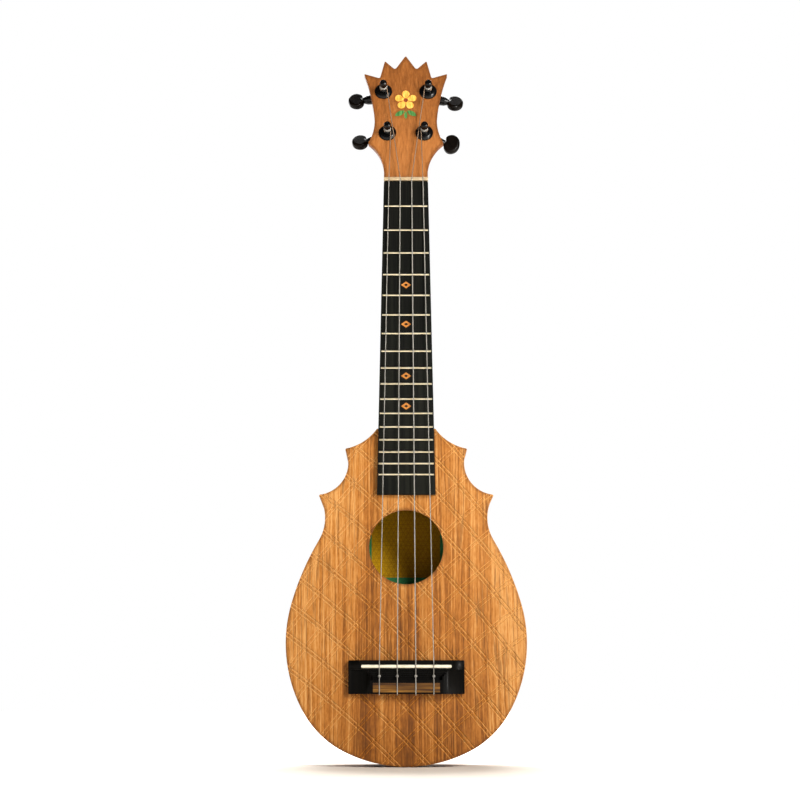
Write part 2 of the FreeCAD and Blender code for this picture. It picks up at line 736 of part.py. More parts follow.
def neck():
    """Shaft, heel and headstock in one piece of wood."""
    flat_heel = box(-BIG, BIG, HEEL_CAP_Y, BIG, 2 * TAIL_Z, BIG)
    shaft = neck_shaft().cut(flat_heel)
    head = head_slab(HEAD_BACK, -VENEER_THICKNESS).cut(undercut())
    head = head.common(box(-BIG, BIG, 9.0, BIG, -BIG, BIG))
    whole = fuse([shaft, on_head(head)])
    in_front = on_head(box(-BIG, BIG, -BIG, BIG, -VENEER_THICKNESS, BIG)).common(above_nut())
    before_nut = box(-BIG, BIG, -BIG, 0, -BIG, NUT_THICKNESS)
    holes = [on_head(hole) for hole in tuner_holes() + screw_holes()]
    return cut(whole, [in_front, before_nut] + holes + neck_dowels())


# ---------------------------------------------------------------- strings

def head_point(x, r, h):
    return head_placement().multVec(V(x, r, h))


def head_coordinates(point):
    return head_placement().inverse().multVec(point)


def wrap_level():
    """Height over the headstock of the strings, which is the same at the nut and at the posts."""
    return head_coordinates(V(0, STRING_NUT_Y, STRING_NUT_Z)).z


def bends(points, radius):
    """Straight runs through a list of points, joined by tangent arcs."""
    edges = []
    start = points[0]
    for before, corner, after in zip(points, points[1:], points[2:]):
        back, ahead = (before - corner).normalize(), (after - corner).normalize()
        half = back.getAngle(ahead) / 2
        trim = radius / math.tan(half)
        first, last = corner + back * trim, corner + ahead * trim
        bisector = (back + ahead).normalize()
        middle = corner + bisector * (radius / math.sin(half) - radius)
        edges += [Part.makeLine(start, first), arc(first, middle, last)]
        start = last
    edges.append(Part.makeLine(start, points[-1]))
    return edges


def swept(edges, radius):
    """Round tube along a smooth chain of edges."""
    path = Part.Wire(edges)
    first = path.OrderedEdges[0]
    start = path.OrderedVertexes[0].Point
    low, high = first.ParameterRange
    along = first.tangentAt(low) if (first.valueAt(low) - start).Length < 1e-6 else -first.tangentAt(high)
    profile = Part.Wire([Part.makeCircle(radius, start, along)])
    tube = path.makePipeShell([profile], True, False)
    expected = math.pi * radius ** 2 * path.Length
    print("tube length %.1f, volume ratio %.4f" % (path.Length, tube.Volume / expected))
    return tube


def post_wrap(nut_point, tuner, radius):
    """The string's last turn round its post, and the point where it leaves towards the nut."""
    level = wrap_level()
    nut = head_coordinates(nut_point)
    reach = POST_WAIST_RADIUS + radius + 0.12
    inner = -math.copysign(1, tuner.x)
    gap = math.hypot(nut.x - tuner.x, nut.y - tuner.r)
    to_nut = math.atan2(nut.y - tuner.r, nut.x - tuner.x)
    leave = to_nut + inner * math.acos(reach / gap)
    angles = [leave + inner * math.radians(turn) for turn in (230, 115, 0)]
    spots = [head_point(tuner.x + reach * math.cos(a), tuner.r + reach * math.sin(a), level) for a in angles]
    return arc(*spots), spots[-1]


def tuner_of(index):
    return next(tuner for tuner in TUNERS if tuner.string == index)


def saddle_point(index):
    """Corner of a string's centre line over the back half of the saddle."""
    return V(STRING_SADDLE_X[index], STRING_SADDLE_Y, SADDLE_Z - 0.5)


def string_path(index):
    """Centre line of a string from its post over nut and saddle to the tie block."""
    nut_point = V(STRING_NUT_X[index], STRING_NUT_Y, STRING_NUT_Z)
    wrap, leave = post_wrap(nut_point, tuner_of(index), STRING_RADII[index])
    x = STRING_SADDLE_X[index]
    behind = BRIDGE_BOTTOM_Z - STRING_RADII[index] - 0.25
    over = -BRIDGE_HEIGHT - STRING_RADII[index] - 0.05
    front = CHANNEL_Z[0] + STRING_RADII[index] + 0.3
    points = [leave, nut_point, saddle_point(index), V(x, TIE_HOLE_Y, front + 1.6), V(x, TIE_HOLE_Y, behind),
              V(x, over, behind), V(x, over, front), V(x, KNOT_Y - 0.7, KNOT_Z - 0.4)]
    return [wrap] + bends(points, BEND_RADIUS)


def knot(index):
    """The hitch that holds the string's end against the tie block."""
    x = STRING_SADDLE_X[index]
    return Part.makeSphere(KNOT_RADIUS, V(x, KNOT_Y, KNOT_Z))


def string(index):
    return fuse([swept(string_path(index), STRING_RADII[index]), knot(index)])


# ---------------------------------------------------------------- nut, saddle, bridge

def nut():
    """Nut with its top falling towards the headstock and a groove for each string."""
    section = [V(-NUT_HALF_WIDTH, 0, 0), V(-NUT_HALF_WIDTH, -7.0, 0), V(-NUT_HALF_WIDTH, -7.05, 1.1),
               V(-NUT_HALF_WIDTH, -6.6, NUT_THICKNESS), V(-NUT_HALF_WIDTH, 0, NUT_THICKNESS)]
    block = Part.Face(closed_wire(section)).extrude(V(2 * NUT_HALF_WIDTH, 0, 0))
    rim = [edge for edge in block.Edges if edge.BoundBox.YMin > -7.1 and edge.BoundBox.YMax < -6.5]
    block = block.makeFillet(0.4, rim)
    grooves = []
    for index, x in enumerate(STRING_NUT_X):
        middle = V(x, STRING_NUT_Y, STRING_NUT_Z)
        leave = post_wrap(middle, tuner_of(index), STRING_RADII[index])[1]
        width = STRING_RADII[index] + 0.06
        for target in (leave, saddle_point(index)):
            away = (target - middle).normalize() * 8
            grooves.append(rod(middle, middle + away, width))
        grooves.append(Part.makeSphere(width, middle))
    return cut(block, grooves)


def saddle():
    """Bone strip with a crowned top and rounded ends."""
    half = SADDLE_THICKNESS / 2
    top = STRING_SADDLE_Y + max(STRING_RADII) + 0.03
    low = SADDLE_SLOT_DEPTH - BRIDGE_HEIGHT
    edge = top + SADDLE_CROWN
    crown = arc(V(0, edge, SADDLE_Z - half), V(0, top, SADDLE_Z), V(0, edge, SADDLE_Z + half))
    sides = Part.makePolygon([V(0, edge, SADDLE_Z + half), V(0, low, SADDLE_Z + half),
                              V(0, low, SADDLE_Z - half), V(0, edge, SADDLE_Z - half)])
    section = Part.Face(Part.Wire([crown, sides]))
    strip = section.extrude(V(2 * SADDLE_HALF_LENGTH, 0, 0))
    strip.translate(V(-SADDLE_HALF_LENGTH, 0, 0))
    return strip.common(saddle_plan(-BIG, BIG))


def saddle_plan(y0, y1):
    """Long shape with round ends, for the saddle and for its slot."""
    half = SADDLE_THICKNESS / 2
    run = SADDLE_HALF_LENGTH - half
    ends = [Part.makeCylinder(half, y1 - y0, V(side * run, y0, SADDLE_Z), V(0, 1, 0)) for side in (-1, 1)]
    return fuse([box(-run, run, y0, y1, SADDLE_Z - half, SADDLE_Z + half)] + ends)


def tie_block_inlay():
    return box(-TIE_INLAY_HALF_LENGTH, TIE_INLAY_HALF_LENGTH, -BRIDGE_HEIGHT,
               TIE_INLAY_THICKNESS - BRIDGE_HEIGHT, *TIE_INLAY_Z)


def hollow_end(start_x, drop, z0, z1):
    """Concave scoop that lowers the bridge's top from start_x out to its end."""
    end_x = BRIDGE_HALF_LENGTH + 0.5
    top = -BRIDGE_HEIGHT
    start, end = V(start_x, top, 0), V(end_x, top + drop, 0)
    middle = V(start_x + (end_x - start_x) * 0.35, top + drop * 0.72, 0)
    roof = Part.makePolygon([end, V(end_x, top - 2, 0), V(start_x, top - 2, 0), start])
    face = Part.Face(Part.Wire([arc(start, middle, end), roof]))
    face.translate(V(0, 0, z0))
    return face.extrude(V(0, 0, z1 - z0))


def channel_step(half_length, floor_y, z0, z1):
    """One step of the trough between saddle and tie block, with sloping ends."""
    top = -BRIDGE_HEIGHT - 1
    low_half = half_length - (floor_y - top) * CHANNEL_END_SLOPE
    corners = [V(-half_length, top, z0), V(half_length, top, z0), V(low_half, floor_y, z0),
               V(-low_half, floor_y, z0)]
    return Part.Face(closed_wire(corners)).extrude(V(0, 0, z1 - z0))


def channel():
    """The trough, which goes down in steps from the saddle to the tie block."""
    steps = []
    high_z = CHANNEL_Z[1]
    for half_length, low_z, floor_y in CHANNEL_STEPS:
        steps.append(channel_step(half_length, floor_y, low_z, high_z))
        high_z = low_z
    return steps


def bridge():
    block = box(-BRIDGE_HALF_LENGTH, BRIDGE_HALF_LENGTH, -BRIDGE_HEIGHT, 0, BRIDGE_BOTTOM_Z, BRIDGE_TOP_Z)
    upright = [edge for edge in block.Edges if edge.BoundBox.YLength > 1]
    block = block.makeFillet(0.8, upright)
    low_z, high_z = CHANNEL_Z
    scoops = [hollow_end(*SADDLE_SCOOP, high_z, BRIDGE_TOP_Z + 1),
              hollow_end(*TIE_SCOOP, BRIDGE_BOTTOM_Z - 1, high_z)]
    scoops += [mirrored_x(scoop) for scoop in scoops]
    holes = []
    for x in STRING_SADDLE_X:
        holes.append(rod(V(x, TIE_HOLE_Y, BRIDGE_BOTTOM_Z - 1), V(x, TIE_HOLE_Y, low_z + 1), TIE_HOLE_RADIUS))
    slot = saddle_plan(-BRIDGE_HEIGHT - 1, SADDLE_SLOT_DEPTH - BRIDGE_HEIGHT)
    return cut(block, scoops + channel() + holes + [slot, tie_block_inlay()])


# ---------------------------------------------------------------- tuners, in their own frame

def rounded_plan(x0, x1, y0, y1, radius, low, high):
    """Plate in the tuner's frame with rounded corners."""
    plate = box(x0, x1, y0, y1, low, high)
    upright = [edge for edge in plate.Edges if edge.BoundBox.ZLength > 1e-3 and edge.BoundBox.XLength < 1e-3]
    upright = [edge for edge in upright if edge.BoundBox.YLength < 1e-3]
    return plate.makeFillet(radius, upright)


def along_worm(shape):
    """Move a shape that was drawn about the Z axis onto the worm's axis."""
    placed = shape.copy()
    turn = FreeCAD.Rotation(V(1, 1, 1), 120)
    placed.Placement = FreeCAD.Placement(V(0, WORM_Y, WORM_Z), turn).multiply(placed.Placement)
    return placed


def tuner_housing():
    """Cast housing behind the headstock: gear pocket, worm bore, stem, stud and screw ear."""
    case = rounded_plan(-7.2, 9.4, -5.6, 8.9, 2.2, HOUSING_BACK, HEAD_BACK)
    rim = [edge for edge in case.Edges if edge.BoundBox.ZMax < HOUSING_BACK + 1e-3]
    case = case.makeFillet(0.9, rim)
    ear = Part.makeCylinder(EAR_RADIUS, EAR_THICKNESS, V(0, EAR_Y, HEAD_BACK - EAR_THICKNESS))
    web = box(-EAR_RADIUS, EAR_RADIUS, EAR_Y, -5.0, HEAD_BACK - EAR_THICKNESS, HEAD_BACK)
    stud = Part.makeCylinder(STUD_RADIUS, -HEAD_BACK - 4.0, V(0, 0, HEAD_BACK))
    stem = along_worm(turned([(0, 8.0), (4.2, 8.0), (3.65, STEM_END), (0, STEM_END)]))
    body = fuse([case, ear, web, stud, stem])
    floor = HEAD_BACK - HOUSING_WALL
    bores = [Part.makeCylinder(POCKET_RADIUS, floor - HOUSING_BACK + 1, V(0, 0, HOUSING_BACK - 1)),
             Part.makeCylinder(POST_RADIUS + RUNNING_CLEARANCE, 2 * HOUSING_WALL, V(0, 0, floor - 1)),
             Part.makeCylinder(BUSHING_SLEEVE_RADIUS, 20, V(0, 0, HEAD_BACK)),
             Part.makeCylinder(SCREW_RADIUS + 0.05, 6, V(0, EAR_Y, HEAD_BACK - 4)),
             along_worm(Part.makeCylinder(JOURNAL_RADIUS + RUNNING_CLEARANCE, 30,
                                          V(0, 0, NOSE_START - 0.05))),
             along_worm(Part.makeCylinder(NOSE_RADIUS + RUNNING_CLEARANCE, 4, V(0, 0, NOSE_END - 0.1)))]
    return cut(body, bores)


def tuner_cover():
    """Pressed plate that closes the back of the gear pocket."""
    plate = rounded_plan(-6.3, 8.5, -4.7, 8.0, 1.6, HOUSING_BACK - COVER_THICKNESS, HOUSING_BACK)
    rim = [edge for edge in plate.Edges if edge.BoundBox.ZMax < HOUSING_BACK - COVER_THICKNESS + 1e-3]
    return plate.makeFillet(0.4, rim)


def tuner_bushing():
    """Domed flange on the headstock's face with a sleeve screwed into the housing's stud."""
    low, high, sleeve_end = WASHER_THICKNESS, 2.2, -8.0
    bore = POST_RADIUS + RUNNING_CLEARANCE
    rim, crest = V(BUSHING_RADIUS, 0, low + 0.3), V(3.9, 0, high)
    inside = [(bore, high), (bore, sleeve_end), (BUSHING_SLEEVE_RADIUS, sleeve_end),
              (BUSHING_SLEEVE_RADIUS, low), (BUSHING_RADIUS, low)]
    rest = Part.makePolygon([crest] + [V(r, 0, z) for r, z in inside] + [rim])
    section = Part.Wire([arc(rim, V(5.6, 0, 1.72), crest), rest])
    return Part.Face(section).revolve(V(0, 0, 0), V(0, 0, 1), 360)


def tuner_washer():
    return turned([(BUSHING_SLEEVE_RADIUS + 0.1, 0), (WASHER_RADIUS, 0), (WASHER_RADIUS, WASHER_THICKNESS),
                   (BUSHING_SLEEVE_RADIUS + 0.1, WASHER_THICKNESS)])


def mounting_screw():
    """Pan-head wood screw through the housing's ear."""
    seat = HEAD_BACK - EAR_THICKNESS
    head_top = seat - SCREW_HEAD_HEIGHT
    screw = turned([(0, head_top), (1.3, head_top + 0.1), (SCREW_HEAD_RADIUS, seat - 0.5),
                    (SCREW_HEAD_RADIUS, seat), (SCREW_RADIUS, seat), (SCREW_RADIUS, SCREW_TIP - 1.2),
                    (0, SCREW_TIP)])
    reach, half, floor = 1.2, SLOT_HALF_WIDTH, head_top + SLOT_DEPTH
    slot = box(-half, half, -reach, reach, head_top - 1, floor)
    cross = box(-reach, reach, -half, half, head_top - 1, floor)
    screw = cut(screw, [slot, cross])
    screw.translate(V(0, EAR_Y, 0))
    return screw


def screw_holes():
    """Pilot holes of the mounting screws, in the headstock's frame."""
    hole = turned([(0, HEAD_BACK - 1), (SCREW_RADIUS, HEAD_BACK - 1), (SCREW_RADIUS, SCREW_TIP - 1.2),
                   (0, SCREW_TIP)])
    hole.translate(V(0, EAR_Y, 0))
    return [in_headstock(hole, tuner) for tuner in TUNERS]


def tuner_post():
    """String post: rounded cap, narrow waist, journal in the bushing and a spigot for the wheel."""
    low, high = POST_WAIST
    floor = HEAD_BACK - HOUSING_WALL + 0.1
    wheel_top = WORM_Z + WHEEL_WIDTH / 2
    wheel_low = WORM_Z - WHEEL_WIDTH / 2
    post = turned([(0, POST_TOP), (1.7, POST_TOP), (2.5, POST_TOP - 0.4), (POST_RADIUS, POST_TOP - 1.2),
                   (POST_RADIUS, high + 0.4), (POST_WAIST_RADIUS, high), (POST_WAIST_RADIUS, low),
                   (POST_RADIUS, low - 0.5), (POST_RADIUS, floor), (WHEEL_SEAT_RADIUS, floor),
                   (WHEEL_SEAT_RADIUS, wheel_top), (SPIGOT_RADIUS, wheel_top), (SPIGOT_RADIUS, wheel_low),
                   (0, wheel_low)])
    string_hole = Part.makeCylinder(STRING_HOLE_RADIUS, 8, V(-4, 0, (low + high) / 2 + 0.5), V(1, 0, 0))
    screw_hole = Part.makeCylinder(WHEEL_SCREW_RADIUS, 6, V(0, 0, wheel_low - 0.5))
    return cut(post, [string_hole, screw_hole])


def tooth_wire(height, turn):
    """Outline of the worm wheel across its axis."""
    root, tip = WHEEL_PITCH_RADIUS - TOOTH_DEDENDUM, WHEEL_PITCH_RADIUS + TOOTH_ADDENDUM
    root_half, tip_half = TOOTH_HALF + TOOTH_DEDENDUM * TOOTH_SLOPE, TOOTH_HALF - TOOTH_ADDENDUM * TOOTH_SLOPE
    points = []
    for tooth in range(WHEEL_TEETH):
        middle = math.pi / 2 + turn + 2 * math.pi * tooth / WHEEL_TEETH
        for radius, half in ((root, -root_half), (tip, -tip_half), (tip, tip_half), (root, root_half)):
            angle = middle + half / radius
            points.append(V(radius * math.cos(angle), radius * math.sin(angle), height))
    return closed_wire(points)


def tuner_wheel():
    """Worm wheel with slanted teeth, and the screw that holds it on the post."""
    half = WHEEL_WIDTH / 2
    slant = half * math.tan(LEAD_ANGLE) / WHEEL_PITCH_RADIUS
    teeth = Part.makeLoft([tooth_wire(WORM_Z - half, -slant), tooth_wire(WORM_Z + half, slant)], True, True)
    wheel = teeth.cut(Part.makeCylinder(SPIGOT_RADIUS, 2 * WHEEL_WIDTH, V(0, 0, WORM_Z - WHEEL_WIDTH)))
    low = WORM_Z - half
    head_top, tip = low - SCREW_HEAD_HEIGHT, low + 5
    screw = turned([(0, head_top), (1.9, head_top), (WHEEL_SEAT_RADIUS, low - 0.9), (WHEEL_SEAT_RADIUS, low),
                    (WHEEL_SCREW_RADIUS, low), (WHEEL_SCREW_RADIUS, tip), (0, tip)])
    slot = box(-3, 3, -SLOT_HALF_WIDTH, SLOT_HALF_WIDTH, head_top - 1, head_top + SLOT_DEPTH)
    return [wheel, screw.cut(slot)]


def worm_thread():
    """One continuous right-hand thread, with a gap between turns facing the wheel's tooth."""
    depth = TOOTH_DEDENDUM + 0.15
    root, tip = WORM_PITCH_RADIUS - depth, WORM_PITCH_RADIUS + TOOTH_ADDENDUM
    root_half = TOOTH_HALF + depth * TOOTH_SLOPE
    tip_half = TOOTH_HALF - TOOTH_ADDENDUM * TOOTH_SLOPE
    helix = Part.makeHelix(WORM_PITCH, THREAD_TURNS * WORM_PITCH, WORM_PITCH_RADIUS)
    profile = closed_wire([V(root, 0, -root_half), V(tip, 0, -tip_half), V(tip, 0, tip_half),
                           V(root, 0, root_half)])
    thread = Part.Wire(helix).makePipeShell([profile], True, True)
    thread.translate(V(0, 0, -THREAD_TURNS * WORM_PITCH / 2))
    thread.rotate(V(0, 0, 0), V(0, 0, 1), 180 * THREAD_TURNS)
    return thread


def collar_and_spigot():
    """Outline of the tapered collar outside the stem and of the spigot inside the button."""
    wide, narrow = COLLAR_RADII
    return [(wide, COLLAR_START), (narrow, COLLAR_END), (BUTTON_SPIGOT_RADIUS, COLLAR_END),
            (BUTTON_SPIGOT_RADIUS, BUTTON_SPIGOT_END), (0, BUTTON_SPIGOT_END)]


def tuner_worm():
    """Worm, its two journals, the tapered collar outside the stem and the button's spigot."""
    core = WORM_PITCH_RADIUS - TOOTH_DEDENDUM
    shaft = turned([(0, NOSE_END), (NOSE_RADIUS, NOSE_END), (NOSE_RADIUS, NOSE_START), (core, NOSE_START),
                    (core, 4.6), (JOURNAL_RADIUS, 4.8), (JOURNAL_RADIUS, COLLAR_START)]
                   + collar_and_spigot())
    return along_worm(fuse([shaft, worm_thread()]))


def tuner_button(angle):
    """Kidney-shaped button with pillowed edges, turned about the shaft by its rest angle."""
    start, end, half = BUTTON_START, BUTTON_START + BUTTON_LENGTH, BUTTON_HALF_HEIGHT
    wide, shoulder = start + 0.37 * BUTTON_LENGTH, end - 0.2 * BUTTON_LENGTH
    spots = [(start + 0.5, 0), (start + 0.1, 0.52 * half), (wide, half), (shoulder, 0.78 * half),
             (end, 0), (shoulder, -0.78 * half), (wide, -half), (start + 0.1, -0.52 * half)]
    outline = Part.BSplineCurve()
    outline.interpolate([V(0, y, x) for x, y in spots], PeriodicFlag=True)
    face = Part.Face(Part.Wire([outline.toShape()]))
    face.translate(V(-BUTTON_THICKNESS / 2, 0, 0))
    button = face.extrude(V(BUTTON_THICKNESS, 0, 0))
    rims = [edge for edge in button.Edges if edge.BoundBox.XLength < 1e-3]
    button = button.makeFillet(BUTTON_EDGE, rims)
    button.rotate(V(0, 0, 0), V(0, 0, 1), 90 + angle)
    shaft = turned([(0, COLLAR_START)] + collar_and_spigot())
    return along_worm(button.cut(shaft))


def string_winding(radius):
    """The turns of string that the post carries, just over the string's last turn, as spline surfaces."""
    first = wrap_level() + radius + WINDING_RADIUS + 0.15
    reach = POST_WAIST_RADIUS + WINDING_RADIUS + 0.03
    points = []
    for step in range(2 * WINDING_TURNS * WINDING_ARCS + 1):
        turn = step / (2 * WINDING_ARCS)
        angle = 2 * math.pi * turn
        points.append(V(reach * math.cos(angle), reach * math.sin(angle), first + turn * WINDING_PITCH))
    edges = [arc(*points[index:index + 3]) for index in range(0, len(points) - 1, 2)]
    along = edges[0].tangentAt(edges[0].FirstParameter)
    profile = Part.Wire([Part.makeCircle(WINDING_RADIUS, points[0], along)])
    coil = Part.Wire(edges).makePipeShell([profile], True, False)
    return coil.transformGeometry(FreeCAD.Matrix())


def in_headstock(shape, tuner):
    """Place a shape drawn in a right-hand tuner's frame at one of the four tuners."""
    placed = shape.copy()
    placed.rotate(V(0, 0, 0), V(0, 0, 1), -tuner.droop)
    if tuner.x < 0:
        placed = mirrored_x(placed)
    placed.translate(V(tuner.x, tuner.r, 0))
    return placed


def tuner_nodes():
    """Every node of the four tuners: own nodes for what moves, groups for the fasteners."""
    nodes = {}
    fixed = {"tuner_bushings": tuner_bushing(), "tuner_washers": tuner_washer(),
             "tuner_covers": tuner_cover(), "tuner_mounting_screws": mounting_screw()}
    for name, shape in fixed.items():
        nodes[name] = [on_head(in_headstock(shape, tuner)) for tuner in TUNERS]
    housing, post, wheel, worm = tuner_housing(), tuner_post(), tuner_wheel(), tuner_worm()
    for tuner in TUNERS:
        own = {"tuner_housing_": [housing], "tuner_post_": [post], "tuner_gear_": wheel,
               "tuner_worm_": [worm], "tuner_button_": [tuner_button(tuner.rest)],
               "string_winding_": [string_winding(STRING_RADII[tuner.string])]}
        for name, shapes in own.items():
            nodes[name + tuner.name] = [on_head(in_headstock(shape, tuner)) for shape in shapes]
    return nodes


# ---------------------------------------------------------------- assembly

def body_nodes():
    corners, block, tail, plate = corner_blocks(), neck_block(), tail_block(), bridge_plate()
    solid_blocks = corners + [block, tail]
    left, right = ribs()
    inner_y = BODY_DEPTH - BACK_THICKNESS
    braces = back_braces()
    return {
        "soundboard": [soundboard()],
        "back_plate": [back_plate()],
        "rib_left": [left],
        "rib_right": [right],
        "corner_blocks": corners,
        "neck_block": [block],
        "tail_block": [tail],
        "top_linings": lining(TOP_THICKNESS, TOP_THICKNESS + LINING_HEIGHT, solid_blocks),
        "back_linings": lining(inner_y - LINING_HEIGHT, inner_y, solid_blocks),
        "top_braces": [cut(brace, corners) for brace in top_braces()],
        "fan_braces": fan_braces(plate),
        "bridge_plate": [plate],
        "back_braces": [cut(brace, solid_blocks) for brace in braces],
        "back_seam_strip": back_seam_strip(solid_blocks + braces),
        "paper_label": [label()],
        "neck_dowels": neck_dowels(),
    }


def neck_nodes():
    petals, eye, leaves = flower_parts()
    markers = fret_markers()
    return {
        "neck": [neck()],
        "headstock_veneer": [headstock_veneer(petals + [eye] + leaves)],
        "flower_petals": [on_head(piece) for piece in petals],
        "flower_eye": [on_head(eye)],
        "flower_leaves": [on_head(piece) for piece in leaves],
        "nut": [nut()],
        "fretboard": [fretboard(markers)],
        "frets": [fret(number) for number in range(1, FRET_COUNT + 1)],
        "fret_markers": markers,
        "bridge": [bridge()],
        "saddle": [saddle()],
        "tie_block_inlay": [tie_block_inlay()],
    }


def string_nodes():
    return {"string_%d" % (index + 1): [string(index)] for index in range(len(STRING_NUT_X))}


def write(nodes):
    os.makedirs("parts", exist_ok=True)
    for name, shapes in nodes.items():
        solids = [solid for shape in shapes for solid in shape.Solids]
        valid = all(solid.isValid() for solid in solids)
        volume = sum(solid.Volume for solid in solids)
        print("%-26s %2d solids, %9.2f mm3, valid %s" % (name, len(solids), volume, valid))
        whole = solids[0] if len(solids) == 1 else Part.makeCompound(solids)
        whole.exportStep("parts/%s.step" % name)


def main():
    nodes = body_nodes()
    nodes.update(neck_nodes())
    nodes.update(string_nodes())
    nodes.update(tuner_nodes())
    write(nodes)
    print(len(nodes), "nodes")


main()
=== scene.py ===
"""Ukulele: finished materials, the carved soundboard, camera and light around the CAD frame.

Everything is in metres in the CAD's frame: X to the right, Y from front to back, Z up along the
neck, with the origin at the nut in the plane between the fretboard and the soundboard's face.
"""
import bmesh
import bpy
import json
import math
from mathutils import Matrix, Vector


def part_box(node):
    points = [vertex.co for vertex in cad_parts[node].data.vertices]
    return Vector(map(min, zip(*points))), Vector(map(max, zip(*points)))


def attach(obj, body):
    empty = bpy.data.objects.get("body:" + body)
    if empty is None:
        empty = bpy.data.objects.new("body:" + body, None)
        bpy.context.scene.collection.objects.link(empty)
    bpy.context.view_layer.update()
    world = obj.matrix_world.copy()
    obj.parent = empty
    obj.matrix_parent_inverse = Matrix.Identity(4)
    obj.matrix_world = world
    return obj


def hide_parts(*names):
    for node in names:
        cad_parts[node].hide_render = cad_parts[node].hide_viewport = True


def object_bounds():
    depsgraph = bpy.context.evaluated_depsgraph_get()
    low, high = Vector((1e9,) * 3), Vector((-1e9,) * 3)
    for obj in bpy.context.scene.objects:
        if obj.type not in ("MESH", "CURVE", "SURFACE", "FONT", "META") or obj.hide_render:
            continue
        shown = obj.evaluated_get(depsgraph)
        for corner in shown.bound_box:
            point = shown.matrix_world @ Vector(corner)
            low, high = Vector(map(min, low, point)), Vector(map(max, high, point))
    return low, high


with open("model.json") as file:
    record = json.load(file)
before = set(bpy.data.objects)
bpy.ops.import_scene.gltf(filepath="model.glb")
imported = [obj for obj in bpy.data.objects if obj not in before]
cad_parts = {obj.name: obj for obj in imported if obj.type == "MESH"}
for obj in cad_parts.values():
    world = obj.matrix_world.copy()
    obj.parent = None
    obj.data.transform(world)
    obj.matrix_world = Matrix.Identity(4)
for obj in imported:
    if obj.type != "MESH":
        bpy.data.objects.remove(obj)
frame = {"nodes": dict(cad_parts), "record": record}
cad_low, cad_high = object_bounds()
nodes = frame["nodes"]
MM = 0.001

# Carved lattice on the soundboard: where each line of the falling family crosses the centre
LATTICE_CROSSINGS = (-177, -202, -227, -253, -282, -311, -339, -363, -388, -412, -436, -460)
LATTICE_SLOPE = 1.016
LATTICE_CURVE = 0.00167
LINE_SPACING = 2.6 * MM
FALLING_GROOVE = (0.75 * MM, 0.60 * MM)
RISING_GROOVE = (0.60 * MM, 0.30 * MM)
GROOVE_OVERLAP = 0.3 * MM
GROOVE_STATIONS = 26

# Camera: it looks up at the neck from just over the floor
AIM = Vector((-4.75 * MM, 0.0, -178.9 * MM))
CAMERA_DISTANCE = 1.0609
CAMERA_TILT = math.radians(12.5)
LENS = 61.43
SENSOR = 36.0

# Chamfers on the hard edges of some pieces
CHAMFERS = {"bridge": 0.20 * MM, "nut": 0.15 * MM, "tie_block_inlay": 0.15 * MM}
CHAMFER_ANGLE = math.radians(50)
WELD_DISTANCE = 0.001 * MM

# Painted shade at the rim of the wood: its reach, and how far the face has to turn away before it is
# painted darker
RIM_REACH = 5.5 * MM
RIM_SAMPLES = 6
RIM_START, RIM_FULL = 0.88, 0.78
RIM_DEPTH = -0.75

# Surroundings as a light: for diffuse surfaces, and in reflections
FILL_LEVELS = (0.23, 0.05)

# Floor: how far it reaches, how far under the body it lies, how strongly it glows, and its paper
FLOOR_REACH = 6.0
FLOOR_GAP = 0.5 * MM
FLOOR_GLOW = 0.9
FLOOR_PAPER = ((0.75, 0.70, 0.63), (0.78, 0.73, 0.66))
WARM_WHITE = (1.0, 0.97, 0.93)

# Spacing of a wood's growth rings, and where the four stops of its colours lie
RING_SPACING = 2.7 * MM
WOOD_STOPS = (0.05, 0.36, 0.64, 0.98)

# Label: the pitch of its triangles, and the width of its green border at the sides and at the foot
TRIANGLE_PITCH = 3.4 * MM
BORDER_SIDE = 4.6 * MM
BORDER_FOOT = 6.8 * MM


# ---------------------------------------------------------------- node materials

